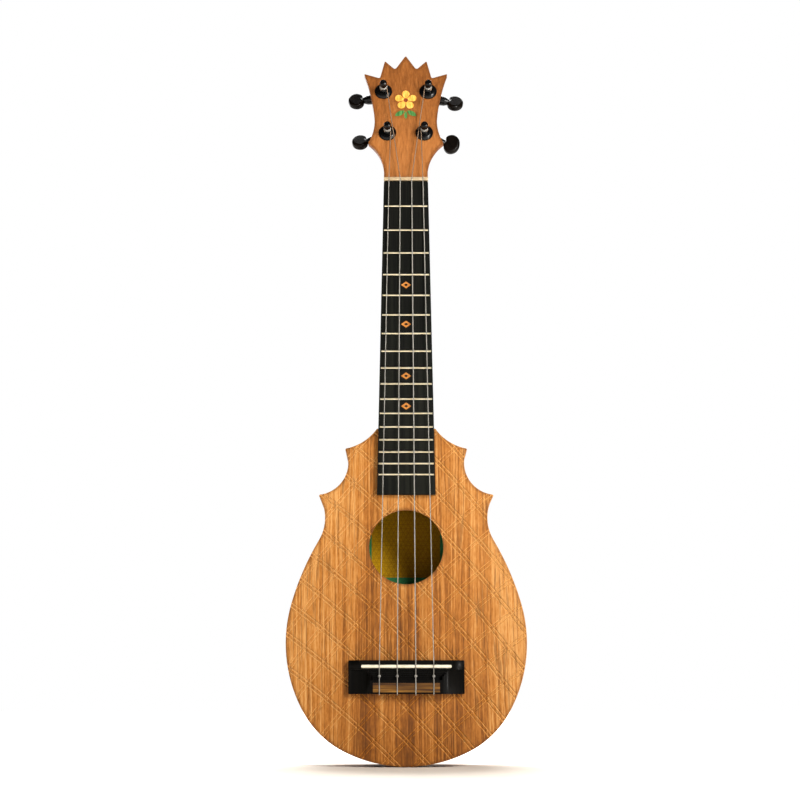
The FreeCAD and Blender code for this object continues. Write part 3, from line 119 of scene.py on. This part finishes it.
class Shader:
    """A node material that is put together with short calls."""

    def __init__(self, name):
        self.material = bpy.data.materials.new(name)
        self.material.use_nodes = True
        self.tree = self.material.node_tree
        self.bsdf = self.tree.nodes["Principled BSDF"]
        self.place = self.tree.nodes.new("ShaderNodeTexCoord").outputs["Object"]

    def feed(self, socket, value):
        """Link a socket to another one, or set it to a plain value."""
        if isinstance(value, bpy.types.NodeSocket):
            self.tree.links.new(value, socket)
        elif hasattr(value, "__len__") and len(value) == 3 and len(socket.default_value) == 4:
            socket.default_value = (*value, 1.0)
        else:
            socket.default_value = value

    def set(self, **values):
        """Set the surface's own sockets, such as roughness=0.4 or coat_weight=0.5."""
        for key, value in values.items():
            self.feed(self.bsdf.inputs[key.replace("_", " ").title().replace("Ior", "IOR")], value)
        return self

    def math(self, operation, a, b=0.0, c=0.0):
        node = self.tree.nodes.new("ShaderNodeMath")
        node.operation = operation
        for socket, value in zip(node.inputs, (a, b, c)):
            self.feed(socket, value)
        return node.outputs[0]

    def vector(self, operation, a, b=(0, 0, 0)):
        node = self.tree.nodes.new("ShaderNodeVectorMath")
        node.operation = operation
        self.feed(node.inputs[0], a)
        self.feed(node.inputs[1], b)
        return node.outputs[0]

    def parts(self, vector):
        node = self.tree.nodes.new("ShaderNodeSeparateXYZ")
        self.feed(node.inputs[0], vector)
        return node.outputs[0], node.outputs[1], node.outputs[2]

    def joined(self, x, y, z):
        node = self.tree.nodes.new("ShaderNodeCombineXYZ")
        for socket, value in zip(node.inputs, (x, y, z)):
            self.feed(socket, value)
        return node.outputs[0]

    def noise(self, vector, scale, detail=2.0, rough=0.5):
        node = self.tree.nodes.new("ShaderNodeTexNoise")
        self.feed(node.inputs["Vector"], vector)
        node.inputs["Scale"].default_value = scale
        node.inputs["Detail"].default_value = detail
        node.inputs["Roughness"].default_value = rough
        return node.outputs["Fac"]

    def ramp(self, factor, *stops):
        """Colour ramp through (place, colour) stops."""
        node = self.tree.nodes.new("ShaderNodeValToRGB")
        elements = node.color_ramp.elements
        while len(elements) < len(stops):
            elements.new(0.5)
        for element, (place, colour) in zip(elements, stops):
            element.position = place
            element.color = (*colour, 1.0)
        self.feed(node.inputs[0], factor)
        return node.outputs[0]

    def fade(self, value, low, high, start=0.0, end=1.0):
        """Smooth step of a value from low to high."""
        node = self.tree.nodes.new("ShaderNodeMapRange")
        node.interpolation_type = "SMOOTHSTEP"
        for index, number in enumerate((value, low, high, start, end)):
            self.feed(node.inputs[index], number)
        return node.outputs[0]

    def mix(self, factor, a, b, blend="MIX"):
        node = self.tree.nodes.new("ShaderNodeMix")
        node.data_type = "RGBA"
        node.blend_type = blend
        self.feed(node.inputs["Factor"], factor)
        self.feed(node.inputs[6], a)
        self.feed(node.inputs[7], b)
        return node.outputs[2]

    def bump(self, height, distance, strength=1.0):
        node = self.tree.nodes.new("ShaderNodeBump")
        node.inputs["Strength"].default_value = strength
        node.inputs["Distance"].default_value = distance
        self.feed(node.inputs["Height"], height)
        self.feed(self.bsdf.inputs["Normal"], node.outputs[0])


def stretched(shader, vector, amount):
    """The vector with its Z axis, along the grain, stretched out by an amount."""
    return shader.vector("MULTIPLY", vector, (1.0, 1.0, 1.0 / amount))


def grain_place(shader, wander):
    """Coordinates whose X and Y wander a little along the grain."""
    slow = shader.noise(stretched(shader, shader.place, 6.0), 16.0, 1.0)
    shift = shader.math("MULTIPLY", shader.math("SUBTRACT", slow, 0.5), wander)
    return shader.vector("ADD", shader.place, shader.joined(shift, shift, 0.0))


def wood(name, stops, contrast=1.0, pores=0.45, wander=0.010, roughness=0.48, bands=110.0, coat=0.04,
         gloss=0.15, shade=None, lay=None):
    """Wood with its grain along Z: bands, streaks and fine lines, short dark pores, a soft cross figure."""
    shader = Shader(name)
    if lay:
        shader.place = lay(shader)
    grain = grain_place(shader, wander)
    layers = ((shader.noise(stretched(shader, grain, 50.0), 0.65 * bands, 1.0), 0.50),
              (shader.noise(stretched(shader, grain, 70.0), 3.0 * bands, 1.0), 0.65),
              (shader.noise(stretched(shader, grain, 50.0), 650.0, 3.0, 0.8), 1.60),
              (shader.noise(stretched(shader, shader.place, 5.0), 900.0, 2.0, 0.7), 0.75),
              (shader.noise(stretched(shader, shader.place, 0.6), 60.0, 2.0), 0.25))
    x, y, _ = shader.parts(grain)
    warp = shader.noise(stretched(shader, grain, 26.0), 50.0, 2.0)
    across = shader.math("MULTIPLY_ADD", y, 0.7, x)
    ring = shader.math("FRACT", shader.math("MULTIPLY_ADD", across, 1 / RING_SPACING,
                                            shader.math("MULTIPLY", warp, 7.0)))
    layers += ((ring, 0.24),)
    tone = 0.5 - 0.5 * contrast * sum(weight for _, weight in layers)
    for layer, weight in layers:
        tone = shader.math("MULTIPLY_ADD", layer, contrast * weight, tone)
    if shade:
        tone = shade(shader, tone)
    colour = shader.ramp(tone, *zip(WOOD_STOPS, stops))
    dashes = shader.noise(stretched(shader, grain, 26.0), 800.0, 1.0)
    pore = shader.fade(dashes, 0.56, 0.66)
    colour = shader.mix(shader.math("MULTIPLY", pore, pores), colour, tuple(0.6 * c for c in stops[0]))
    fine = layers[2][0]
    shader.set(base_color=colour, roughness=shader.math("MULTIPLY_ADD", fine, 0.16, roughness - 0.08),
               specular_ior_level=gloss, coat_weight=coat, coat_roughness=0.25)
    shader.bump(shader.math("SUBTRACT", shader.math("MULTIPLY", fine, 0.5), pore), 0.05 * MM, 0.4)
    return shader


def bell(shader, value, centre, width):
    """A smooth hump of height 1 round a centre."""
    away = shader.math("DIVIDE", shader.math("SUBTRACT", value, centre), width)
    return shader.math("EXPONENT", shader.math("MULTIPLY", shader.math("MULTIPLY", away, away), -1.0))


def painted_rim_shade(shader, tone, share=1.0):
    """Painted shade: where the face turns over into the edge, the wood is painted darker."""
    rounded = shader.tree.nodes.new("ShaderNodeBevel")
    rounded.samples = RIM_SAMPLES
    rounded.inputs["Radius"].default_value = RIM_REACH
    _, forward, _ = shader.parts(rounded.outputs[0])
    # Painted shade: the more the face turns away from the front, the darker the wood
    turned = shader.fade(shader.math("ABSOLUTE", forward), RIM_START, RIM_FULL)
    return shader.math("MULTIPLY_ADD", shader.math("MULTIPLY", turned, share), RIM_DEPTH, tone)


def top_shade(shader, tone):
    """Streaks of the soundboard: a dark middle below the hole and darker strips; painted light makes the
    sides and top paler and the bottom darker, and the rim takes painted shade.
    """
    x, y, z = shader.parts(shader.place)
    # Painted light: paler towards both sides and towards the top, darker towards the bottom
    side = shader.fade(shader.math("ABSOLUTE", x), 0.018, 0.088, -0.05, 0.26)
    painted_top_light = shader.fade(z, -0.345, -0.245, 0.0, 0.16)
    painted_low_shade = shader.fade(z, -0.345, -0.440, 0.0, -0.10)
    for part in (side, painted_top_light, painted_low_shade):
        tone = shader.math("ADD", tone, part)
    below = shader.fade(z, -0.315, -0.345)
    for centre, width, depth in TOP_STREAKS:
        streak = shader.math("MULTIPLY", bell(shader, x, centre, width), below)
        tone = shader.math("MULTIPLY_ADD", streak, depth, tone)
    for centre in (-0.0095, 0.0085):
        line = shader.math("MULTIPLY", bell(shader, x, centre, 0.0009), shader.fade(z, -0.404, -0.412))
        tone = shader.math("MULTIPLY_ADD", line, 0.2, tone)
    below_face = shader.fade(y, 0.06 * MM, 0.25 * MM)
    above_floor = shader.fade(y, 0.9 * MM, 0.7 * MM)
    carved = shader.math("MULTIPLY", below_face, above_floor)
    uncarved = shader.math("SUBTRACT", 1.0, carved)
    return painted_rim_shade(shader, shader.math("MULTIPLY_ADD", carved, 0.32, tone), uncarved)


def head_shade(shader, tone):
    """The headstock's face gets darker towards the crown, and its rim takes painted shade."""
    _, _, z = shader.parts(shader.place)
    return painted_rim_shade(shader, shader.math("ADD", tone, shader.fade(z, 0.020, 0.105, 0.16, -0.15)))


# Colours of the woods, from the darkest streak to the palest
KOA = ((0.105, 0.032, 0.0030), (0.215, 0.069, 0.0070), (0.325, 0.122, 0.0190), (0.44, 0.215, 0.062))
KOA_SIDES = ((0.10, 0.030, 0.004), (0.19, 0.060, 0.008), (0.28, 0.10, 0.018), (0.38, 0.165, 0.045))
RED_WOOD = ((0.085, 0.024, 0.006), (0.155, 0.047, 0.012), (0.225, 0.075, 0.021), (0.31, 0.118, 0.039))
HEAD_WOOD = ((0.105, 0.032, 0.0055), (0.185, 0.060, 0.0115), (0.27, 0.096, 0.022), (0.35, 0.142, 0.039))
BLOCK_WOOD = ((0.16, 0.06, 0.02), (0.26, 0.11, 0.045), (0.36, 0.16, 0.07), (0.45, 0.22, 0.10))
BRACE_WOOD = ((0.35, 0.20, 0.08), (0.48, 0.31, 0.15), (0.58, 0.40, 0.21), (0.66, 0.49, 0.29))
MARKER_WOOD = ((0.20, 0.06, 0.009), (0.32, 0.11, 0.018), (0.44, 0.17, 0.03), (0.54, 0.24, 0.05))
PETAL_WOOD = ((0.42, 0.16, 0.02), (0.60, 0.28, 0.04), (0.72, 0.38, 0.07), (0.80, 0.48, 0.12))
EYE_WOOD = ((0.09, 0.015, 0.006), (0.16, 0.03, 0.01), (0.24, 0.05, 0.016), (0.34, 0.09, 0.03))
LEAF_WOOD = ((0.02, 0.07, 0.02), (0.04, 0.13, 0.03), (0.06, 0.19, 0.05), (0.11, 0.27, 0.08))

# Dark streaks of the soundboard below its hole, as (centre, width, depth)
TOP_STREAKS = ((-0.001, 0.010, -0.17), (-0.029, 0.004, -0.05), (0.0255, 0.0035, -0.07),
               (-0.040, 0.006, -0.04), (0.057, 0.004, -0.05))


def top_wood():
    return wood("top_wood", KOA, shade=top_shade)


def matched_halves(shader):
    """Two halves of one board, opened like a book at the centre line."""
    x, y, z = shader.parts(shader.place)
    return shader.joined(shader.math("ABSOLUTE", x), y, z)


def bent_strip(shader):
    """A strip whose grain follows the body's outline, so that it changes only across the strip."""
    return shader.vector("MULTIPLY", shader.place, (0.03, 1.0, 1.0))


def body_wood():
    return wood("body_wood", KOA_SIDES, lay=matched_halves)


def rib_wood():
    return wood("rib_wood", KOA_SIDES, lay=bent_strip)


def neck_wood():
    return wood("neck_wood", RED_WOOD, bands=70.0)


def head_wood():
    return wood("head_wood", HEAD_WOOD, contrast=0.50, pores=0.15, wander=0.006, bands=160.0,
                shade=head_shade)


def block_wood():
    return wood("block_wood", BLOCK_WOOD, coat=0.0, roughness=0.7)


def brace_wood():
    return wood("brace_wood", BRACE_WOOD, contrast=0.5, pores=0.1, coat=0.0, roughness=0.7, bands=400.0)


def marker_wood():
    return wood("marker_wood", MARKER_WOOD, contrast=0.5, pores=0.2, bands=400.0)


def inlay_wood():
    """The tie block's inlay, whose grain runs across."""
    shader = Shader("inlay_wood")
    across = shader.vector("MULTIPLY", shader.place, (0.04, 1.0, 1.0))
    lines = shader.noise(across, 900.0, 3.0, 0.7)
    bands = shader.noise(across, 260.0, 1.0)
    tone = shader.math("MULTIPLY_ADD", lines, 0.55, shader.math("MULTIPLY", bands, 0.45))
    colour = shader.ramp(tone, (0.34, (0.020, 0.007, 0.002)), (0.50, (0.105, 0.043, 0.005)),
                         (0.64, (0.25, 0.115, 0.017)))
    shader.set(base_color=colour, roughness=0.45, specular_ior_level=0.15, coat_weight=0.04,
               coat_roughness=0.25)
    shader.bump(lines, 0.05 * MM, 0.5)
    return shader


def black_wood(name, light, dark, roughness, gloss, coat):
    """Ebony: nearly black with faint brown-grey streaks along the grain."""
    shader = Shader(name)
    grain = grain_place(shader, 0.004)
    streaks = shader.noise(stretched(shader, grain, 60.0), 420.0, 3.0, 0.6)
    _, _, z = shader.parts(shader.place)
    tone = shader.math("ADD", streaks, shader.fade(z, -0.28, 0.0, 0.03, -0.06))
    colour = shader.ramp(tone, (0.40, dark), (0.66, light))
    fine = shader.noise(stretched(shader, grain, 25.0), 1700.0, 2.0)
    shader.set(base_color=colour, roughness=shader.math("MULTIPLY_ADD", fine, 0.2, roughness - 0.1),
               specular_ior_level=gloss, coat_weight=coat, coat_roughness=0.12)
    shader.bump(fine, 0.03 * MM, 0.4)
    return shader


def fretboard_wood():
    return black_wood("fretboard_wood", (0.0062, 0.0066, 0.0046), (0.0014, 0.0016, 0.0012), 0.5, 0.06, 0.0)


def bridge_wood():
    return black_wood("bridge_wood", (0.0018, 0.0015, 0.0010), (0.0005, 0.0004, 0.0003), 0.42, 0.05, 0.015)


def bone():
    shader = Shader("bone")
    cloud = shader.noise(shader.place, 220.0, 3.0)
    _, _, z = shader.parts(shader.place)
    fresh = shader.ramp(cloud, (0.35, (0.56, 0.52, 0.40)), (0.6, (0.66, 0.62, 0.50)))
    yellowed = shader.ramp(cloud, (0.35, (0.31, 0.225, 0.125)), (0.6, (0.37, 0.285, 0.175)))
    colour = shader.mix(shader.fade(z, -0.35, -0.05), fresh, yellowed)
    shader.set(base_color=colour, roughness=shader.math("MULTIPLY_ADD", cloud, 0.1, 0.28),
               subsurface_weight=0.15, subsurface_radius=(0.002, 0.0015, 0.001))
    shader.bump(shader.noise(shader.place, 1800.0, 2.0), 0.02 * MM, 0.4)
    return shader


def metal(name, light, dark, roughness, scale=900.0):
    """Polished metal with faint scratches and duller patches."""
    shader = Shader(name)
    patch = shader.noise(shader.place, 180.0, 3.0)
    scratch = shader.noise(shader.vector("MULTIPLY", shader.place, (0.08, 1.0, 1.0)), scale, 2.0)
    shader.set(base_color=shader.ramp(patch, (0.35, dark), (0.65, light)), metallic=1.0,
               roughness=shader.math("MULTIPLY_ADD", scratch, 0.2, roughness - 0.1))
    shader.bump(scratch, 0.015 * MM, 0.4)
    return shader


def fret_wire():
    return metal("fret_wire", (0.88, 0.80, 0.60), (0.74, 0.64, 0.42), 0.30)


def gear_brass():
    return metal("gear_brass", (0.78, 0.58, 0.24), (0.55, 0.38, 0.14), 0.34)


def painted(name, colour, roughness, coat, flecks=0.0, gloss=0.1):
    """Smooth lacquer or moulded plastic with a faint orange-peel surface."""
    shader = Shader(name)
    peel = shader.noise(shader.place, 900.0, 2.0)
    haze = shader.noise(shader.place, 130.0, 3.0)
    lighter = tuple(c * (2.0 + flecks) for c in colour)
    shader.set(base_color=shader.ramp(haze, (0.35, colour), (0.7, lighter)),
               roughness=shader.math("MULTIPLY_ADD", haze, 0.14, roughness - 0.07),
               specular_ior_level=gloss, coat_weight=coat, coat_roughness=0.08)
    shader.bump(peel, 0.02 * MM, 0.35)
    return shader


def tuner_black():
    return painted("tuner_black", (0.0012, 0.0012, 0.0013), 0.28, 0.10)


def button_black():
    return painted("button_black", (0.0014, 0.0009, 0.0006), 0.34, 0.03, 1.0, 0.06)


def black_screws():
    return painted("black_screws", (0.012, 0.012, 0.013), 0.38, 0.0)


def nylon(name, painted_see_through):
    """Clear nylon, with the colour of the headstock seen through it painted in where it lies over the
    headstock.
    """
    shader = Shader(name)
    cloud = shader.noise(shader.place, 400.0, 2.0)
    _, _, z = shader.parts(shader.place)
    clear = shader.ramp(cloud, (0.3, (0.20, 0.19, 0.172)), (0.7, (0.28, 0.27, 0.245)))
    # Painted see-through colour: above the nut the nylon takes on the headstock's brown
    colour = shader.mix(shader.fade(z, 0.0, 0.006, 0.0, painted_see_through), clear, (0.17, 0.090, 0.040))
    shader.set(base_color=colour,
               roughness=shader.math("MULTIPLY_ADD", cloud, 0.12, 0.34), specular_ior_level=0.2,
               transmission_weight=0.15)
    shader.bump(shader.noise(stretched(shader, shader.place, 8.0), 2500.0, 1.0), 0.01 * MM, 0.3)
    return shader


def string_nylon():
    return nylon("string_nylon", 0.0)


def long_nylon():
    return nylon("long_nylon", 0.75)


def label_paper():
    """Printed paper: a gold field of small triangles inside a green border, with a painted shadow that
    darkens the gold towards the right.
    """
    shader = Shader("label_paper")
    low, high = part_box("paper_label")
    x, _, z = shader.parts(shader.place)
    rows = []
    for turn in (90.0, 30.0, -30.0):
        across = shader.math("MULTIPLY", x, math.cos(math.radians(turn)) / TRIANGLE_PITCH)
        row = shader.math("MULTIPLY_ADD", z, math.sin(math.radians(turn)) / TRIANGLE_PITCH, across)
        rows.append(shader.math("PINGPONG", row, 0.5))
    nearest = shader.math("MINIMUM", shader.math("MINIMUM", rows[0], rows[1]), rows[2])
    line = shader.fade(nearest, 0.03, 0.10, 1.0, 0.0)
    fibre = shader.noise(shader.place, 900.0, 3.0)
    gold = shader.ramp(fibre, (0.3, (0.32, 0.165, 0.0010)), (0.7, (0.45, 0.245, 0.002)))
    gold = shader.mix(shader.math("MULTIPLY", line, 0.5), gold, (0.12, 0.065, 0.001))
    # Painted shadow: the gold darkens to brown towards the right, where the soundboard shades it
    gold = shader.mix(shader.fade(x, -0.018, 0.006, 0.0, 0.5), gold, (0.14, 0.050, 0.001))
    side = shader.math("SUBTRACT", high.x - BORDER_SIDE, shader.math("ABSOLUTE", x))
    foot = shader.math("SUBTRACT", z, low.z + BORDER_FOOT)
    border = shader.fade(shader.math("MINIMUM", side, foot), -0.1 * MM, 0.1 * MM, 1.0, 0.0)
    green = shader.ramp(fibre, (0.3, (0.020, 0.13, 0.045)), (0.7, (0.035, 0.19, 0.07)))
    shader.set(base_color=shader.mix(border, gold, green), roughness=0.75, specular_ior_level=0.1)
    shader.bump(fibre, 0.04 * MM, 0.5)
    return shader


def petal_wood():
    return wood("petal_wood", PETAL_WOOD, pores=0.2, bands=300.0)


def eye_wood():
    return wood("eye_wood", EYE_WOOD, bands=400.0)


def leaf_wood():
    return wood("leaf_wood", LEAF_WOOD, pores=0.2, bands=300.0)


MAKERS = (top_wood, body_wood, rib_wood, neck_wood, head_wood, block_wood, brace_wood, marker_wood,
          inlay_wood, fretboard_wood, bridge_wood, bone, fret_wire, gear_brass, tuner_black, button_black,
          black_screws, string_nylon, long_nylon, label_paper, petal_wood, eye_wood, leaf_wood)
materials = {make.__name__: make().material for make in MAKERS}


def dress(piece, material):
    """Give a piece one material and leave no other slot on it."""
    piece.data.materials.clear()
    piece.data.materials.append(material)


# ---------------------------------------------------------------- small mesh helpers

def mesh_piece(name, vertices, faces):
    data = bpy.data.meshes.new(name)
    data.from_pydata([tuple(v) for v in vertices], [], faces)
    data.update()
    piece = bpy.data.objects.new(name, data)
    bpy.context.scene.collection.objects.link(piece)
    return piece


def applied(piece):
    """Turn a piece's modifiers into its mesh."""
    graph = bpy.context.evaluated_depsgraph_get()
    made = bpy.data.meshes.new_from_object(piece.evaluated_get(graph))
    piece.modifiers.clear()
    piece.data = made


def copy_of(node, name):
    """A separate piece with the same mesh as a CAD node."""
    piece = bpy.data.objects.new(name, nodes[node].data.copy())
    bpy.context.scene.collection.objects.link(piece)
    return piece


def weld_faces(piece):
    """Join the faces of a CAD mesh at their edges."""
    weld = piece.modifiers.new("weld", "WELD")
    weld.merge_threshold = WELD_DISTANCE


def chamfer(piece, width):
    """Take off a CAD mesh's hard edges."""
    weld_faces(piece)
    bevel = piece.modifiers.new("chamfer", "BEVEL")
    bevel.limit_method = "ANGLE"
    bevel.angle_limit = CHAMFER_ANGLE
    bevel.width = width
    bevel.segments = 1


# ---------------------------------------------------------------- carved soundboard

def lattice_line(crossing, mirror, shift):
    """Points of one carved line, from edge to edge of the body, as (x, z)."""
    reach = cad_high.x + 4 * MM
    points = []
    for step in range(GROOVE_STATIONS + 1):
        x = -reach + 2 * reach * step / GROOVE_STATIONS
        slope = LATTICE_SLOPE + 2 * LATTICE_CURVE * x / MM
        z = crossing * MM - LATTICE_SLOPE * x - LATTICE_CURVE * x * x / MM
        length = math.hypot(1.0, slope)
        points.append((mirror * (x + shift * slope / length), z + shift / length))
    return points


def groove_cutters(mirror, half_width, depth):
    """One mesh of V-shaped bars that lie along all lines of one family."""
    vertices, faces = [], []
    for crossing in LATTICE_CROSSINGS:
        for shift in (-LINE_SPACING / 2, LINE_SPACING / 2):
            points = lattice_line(crossing, mirror, shift)
            start = len(vertices)
            for index, (x, z) in enumerate(points):
                before = points[max(index - 1, 0)]
                after = points[min(index + 1, len(points) - 1)]
                along = Vector((after[0] - before[0], after[1] - before[1])).normalized()
                wide = half_width * (1 + GROOVE_OVERLAP / depth)
                for side in (-1, 1):
                    vertices.append((x - side * along.y * wide, -GROOVE_OVERLAP, z + side * along.x * wide))
                vertices.append((x, depth, z))
            for index in range(len(points) - 1):
                a = start + 3 * index
                for i, j in ((0, 1), (1, 2), (2, 0)):
                    faces.append((a + i, a + j, a + 3 + j, a + 3 + i))
            last = start + 3 * (len(points) - 1)
            faces += [(start + 2, start + 1, start), (last, last + 1, last + 2)]
    return mesh_piece("groove_cutter", vertices, faces)


def outward(piece):
    """Turn a closed mesh's faces to look outwards."""
    mesh = bmesh.new()
    mesh.from_mesh(piece.data)
    bmesh.ops.recalc_face_normals(mesh, faces=mesh.faces)
    mesh.to_mesh(piece.data)
    mesh.free()


def carved_soundboard():
    """The soundboard with its lattice of paired V grooves."""
    board = copy_of("soundboard", "carved_soundboard")
    weld_faces(board)
    cutters = [groove_cutters(1, *FALLING_GROOVE), groove_cutters(-1, *RISING_GROOVE)]
    for cutter in cutters:
        outward(cutter)
        carve = board.modifiers.new("carve", "BOOLEAN")
        carve.operation = "DIFFERENCE"
        carve.solver = "MANIFOLD"
        carve.object = cutter
    applied(board)
    for cutter in cutters:
        bpy.data.objects.remove(cutter)
    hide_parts("soundboard")
    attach(board, "root")
    dress(board, materials["top_wood"])
    return board


carved_soundboard()

for entry in frame["record"]["subparts"]:
    dress(nodes[entry["node"]], materials[entry["material_slot"]])
for node in ("rib_left", "rib_right"):
    dress(nodes[node], materials["rib_wood"])
for number in range(1, 5):
    dress(nodes["string_%d" % number], materials["long_nylon"])
for node, width in CHAMFERS.items():
    chamfer(nodes[node], width)


# ---------------------------------------------------------------- floor, light and camera

def floor():
    """White paper that takes a shadow near the object's front and glows everywhere else."""
    reach = FLOOR_REACH
    z = cad_low.z - FLOOR_GAP
    corners = [(-reach, -reach, z), (reach, -reach, z), (reach, reach, z), (-reach, reach, z)]
    piece = mesh_piece("floor", corners, [(0, 1, 2, 3)])
    shader = Shader("floor_paper")
    speck = shader.noise(shader.place, 30.0, 3.0)
    x, y, _ = shader.parts(shader.place)
    behind = shader.fade(y, 0.0, 0.3)
    away = shader.math("SQRT", shader.math("MULTIPLY_ADD", x, x, shader.math("MULTIPLY", y, y)))
    glow = shader.math("MAXIMUM", behind, shader.fade(away, 0.30, 0.70))
    paper = shader.ramp(speck, (0.3, FLOOR_PAPER[0]), (0.7, FLOOR_PAPER[1]))
    shader.set(base_color=paper, roughness=0.9, specular_ior_level=0.0, emission_color=(1.0, 1.0, 1.0),
               emission_strength=shader.math("MULTIPLY", glow, FLOOR_GLOW))
    dress(piece, shader.material)


def softbox(name, place, target, size, power, colour=(1.0, 1.0, 1.0)):
    light = bpy.data.lights.new(name, "AREA")
    light.shape = "RECTANGLE"
    light.size, light.size_y = size
    light.energy = power
    light.color = colour
    lamp = bpy.data.objects.new(name, light)
    lamp.location = place
    lamp.rotation_euler = (Vector(target) - Vector(place)).to_track_quat("-Z", "Y").to_euler()
    bpy.context.scene.collection.objects.link(lamp)


def overhead_sun(strength, lean, spread):
    """Very soft light from above and behind, which keeps the floor white."""
    light = bpy.data.lights.new("overhead", "SUN")
    light.energy = strength
    light.angle = math.radians(spread)
    lamp = bpy.data.objects.new("overhead", light)
    lamp.rotation_euler = (-math.radians(lean), 0.0, 0.0)
    bpy.context.scene.collection.objects.link(lamp)


def surroundings():
    """Plain white to look at, dimmer as a light and dimmest in reflections."""
    world = bpy.data.worlds.new("studio")
    world.use_nodes = True
    tree = world.node_tree
    backdrop = tree.nodes["Background"]
    fill = tree.nodes.new("ShaderNodeBackground")
    choose = tree.nodes.new("ShaderNodeMixShader")
    seen = tree.nodes.new("ShaderNodeLightPath")
    level = tree.nodes.new("ShaderNodeMapRange")
    backdrop.inputs["Color"].default_value = (1.0, 1.0, 1.0, 1.0)
    fill.inputs["Color"].default_value = (1.0, 0.99, 0.98, 1.0)
    level.inputs[3].default_value, level.inputs[4].default_value = FILL_LEVELS
    tree.links.new(seen.outputs["Is Glossy Ray"], level.inputs[0])
    tree.links.new(level.outputs[0], fill.inputs["Strength"])
    tree.links.new(seen.outputs["Is Camera Ray"], choose.inputs[0])
    tree.links.new(fill.outputs[0], choose.inputs[1])
    tree.links.new(backdrop.outputs[0], choose.inputs[2])
    tree.links.new(choose.outputs[0], tree.nodes["World Output"].inputs["Surface"])
    bpy.context.scene.world = world


def camera():
    data = bpy.data.cameras.new("camera")
    data.lens = LENS
    data.sensor_width = SENSOR
    eye = bpy.data.objects.new("camera", data)
    away = Vector((0.0, math.cos(CAMERA_TILT), math.sin(CAMERA_TILT)))
    eye.location = AIM - away * CAMERA_DISTANCE
    eye.rotation_euler = (math.pi / 2 + CAMERA_TILT, 0.0, 0.0)
    bpy.context.scene.collection.objects.link(eye)
    bpy.context.scene.camera = eye


floor()
surroundings()
overhead_sun(5.0, 38.0, 50.0)
softbox("key", (0.66, -1.08, 0.20), (0, 0, -0.24), (0.30, 0.36), 21.5, WARM_WHITE)
softbox("side", (0.78, -0.98, -0.27), (0, 0, -0.29), (0.16, 0.16), 5.5, WARM_WHITE)
softbox("back", (-0.9, 1.3, 0.5), (0, 0, -0.25), (1.0, 1.0), 14.0)
camera()
bpy.context.scene.view_settings.view_transform = "Standard"
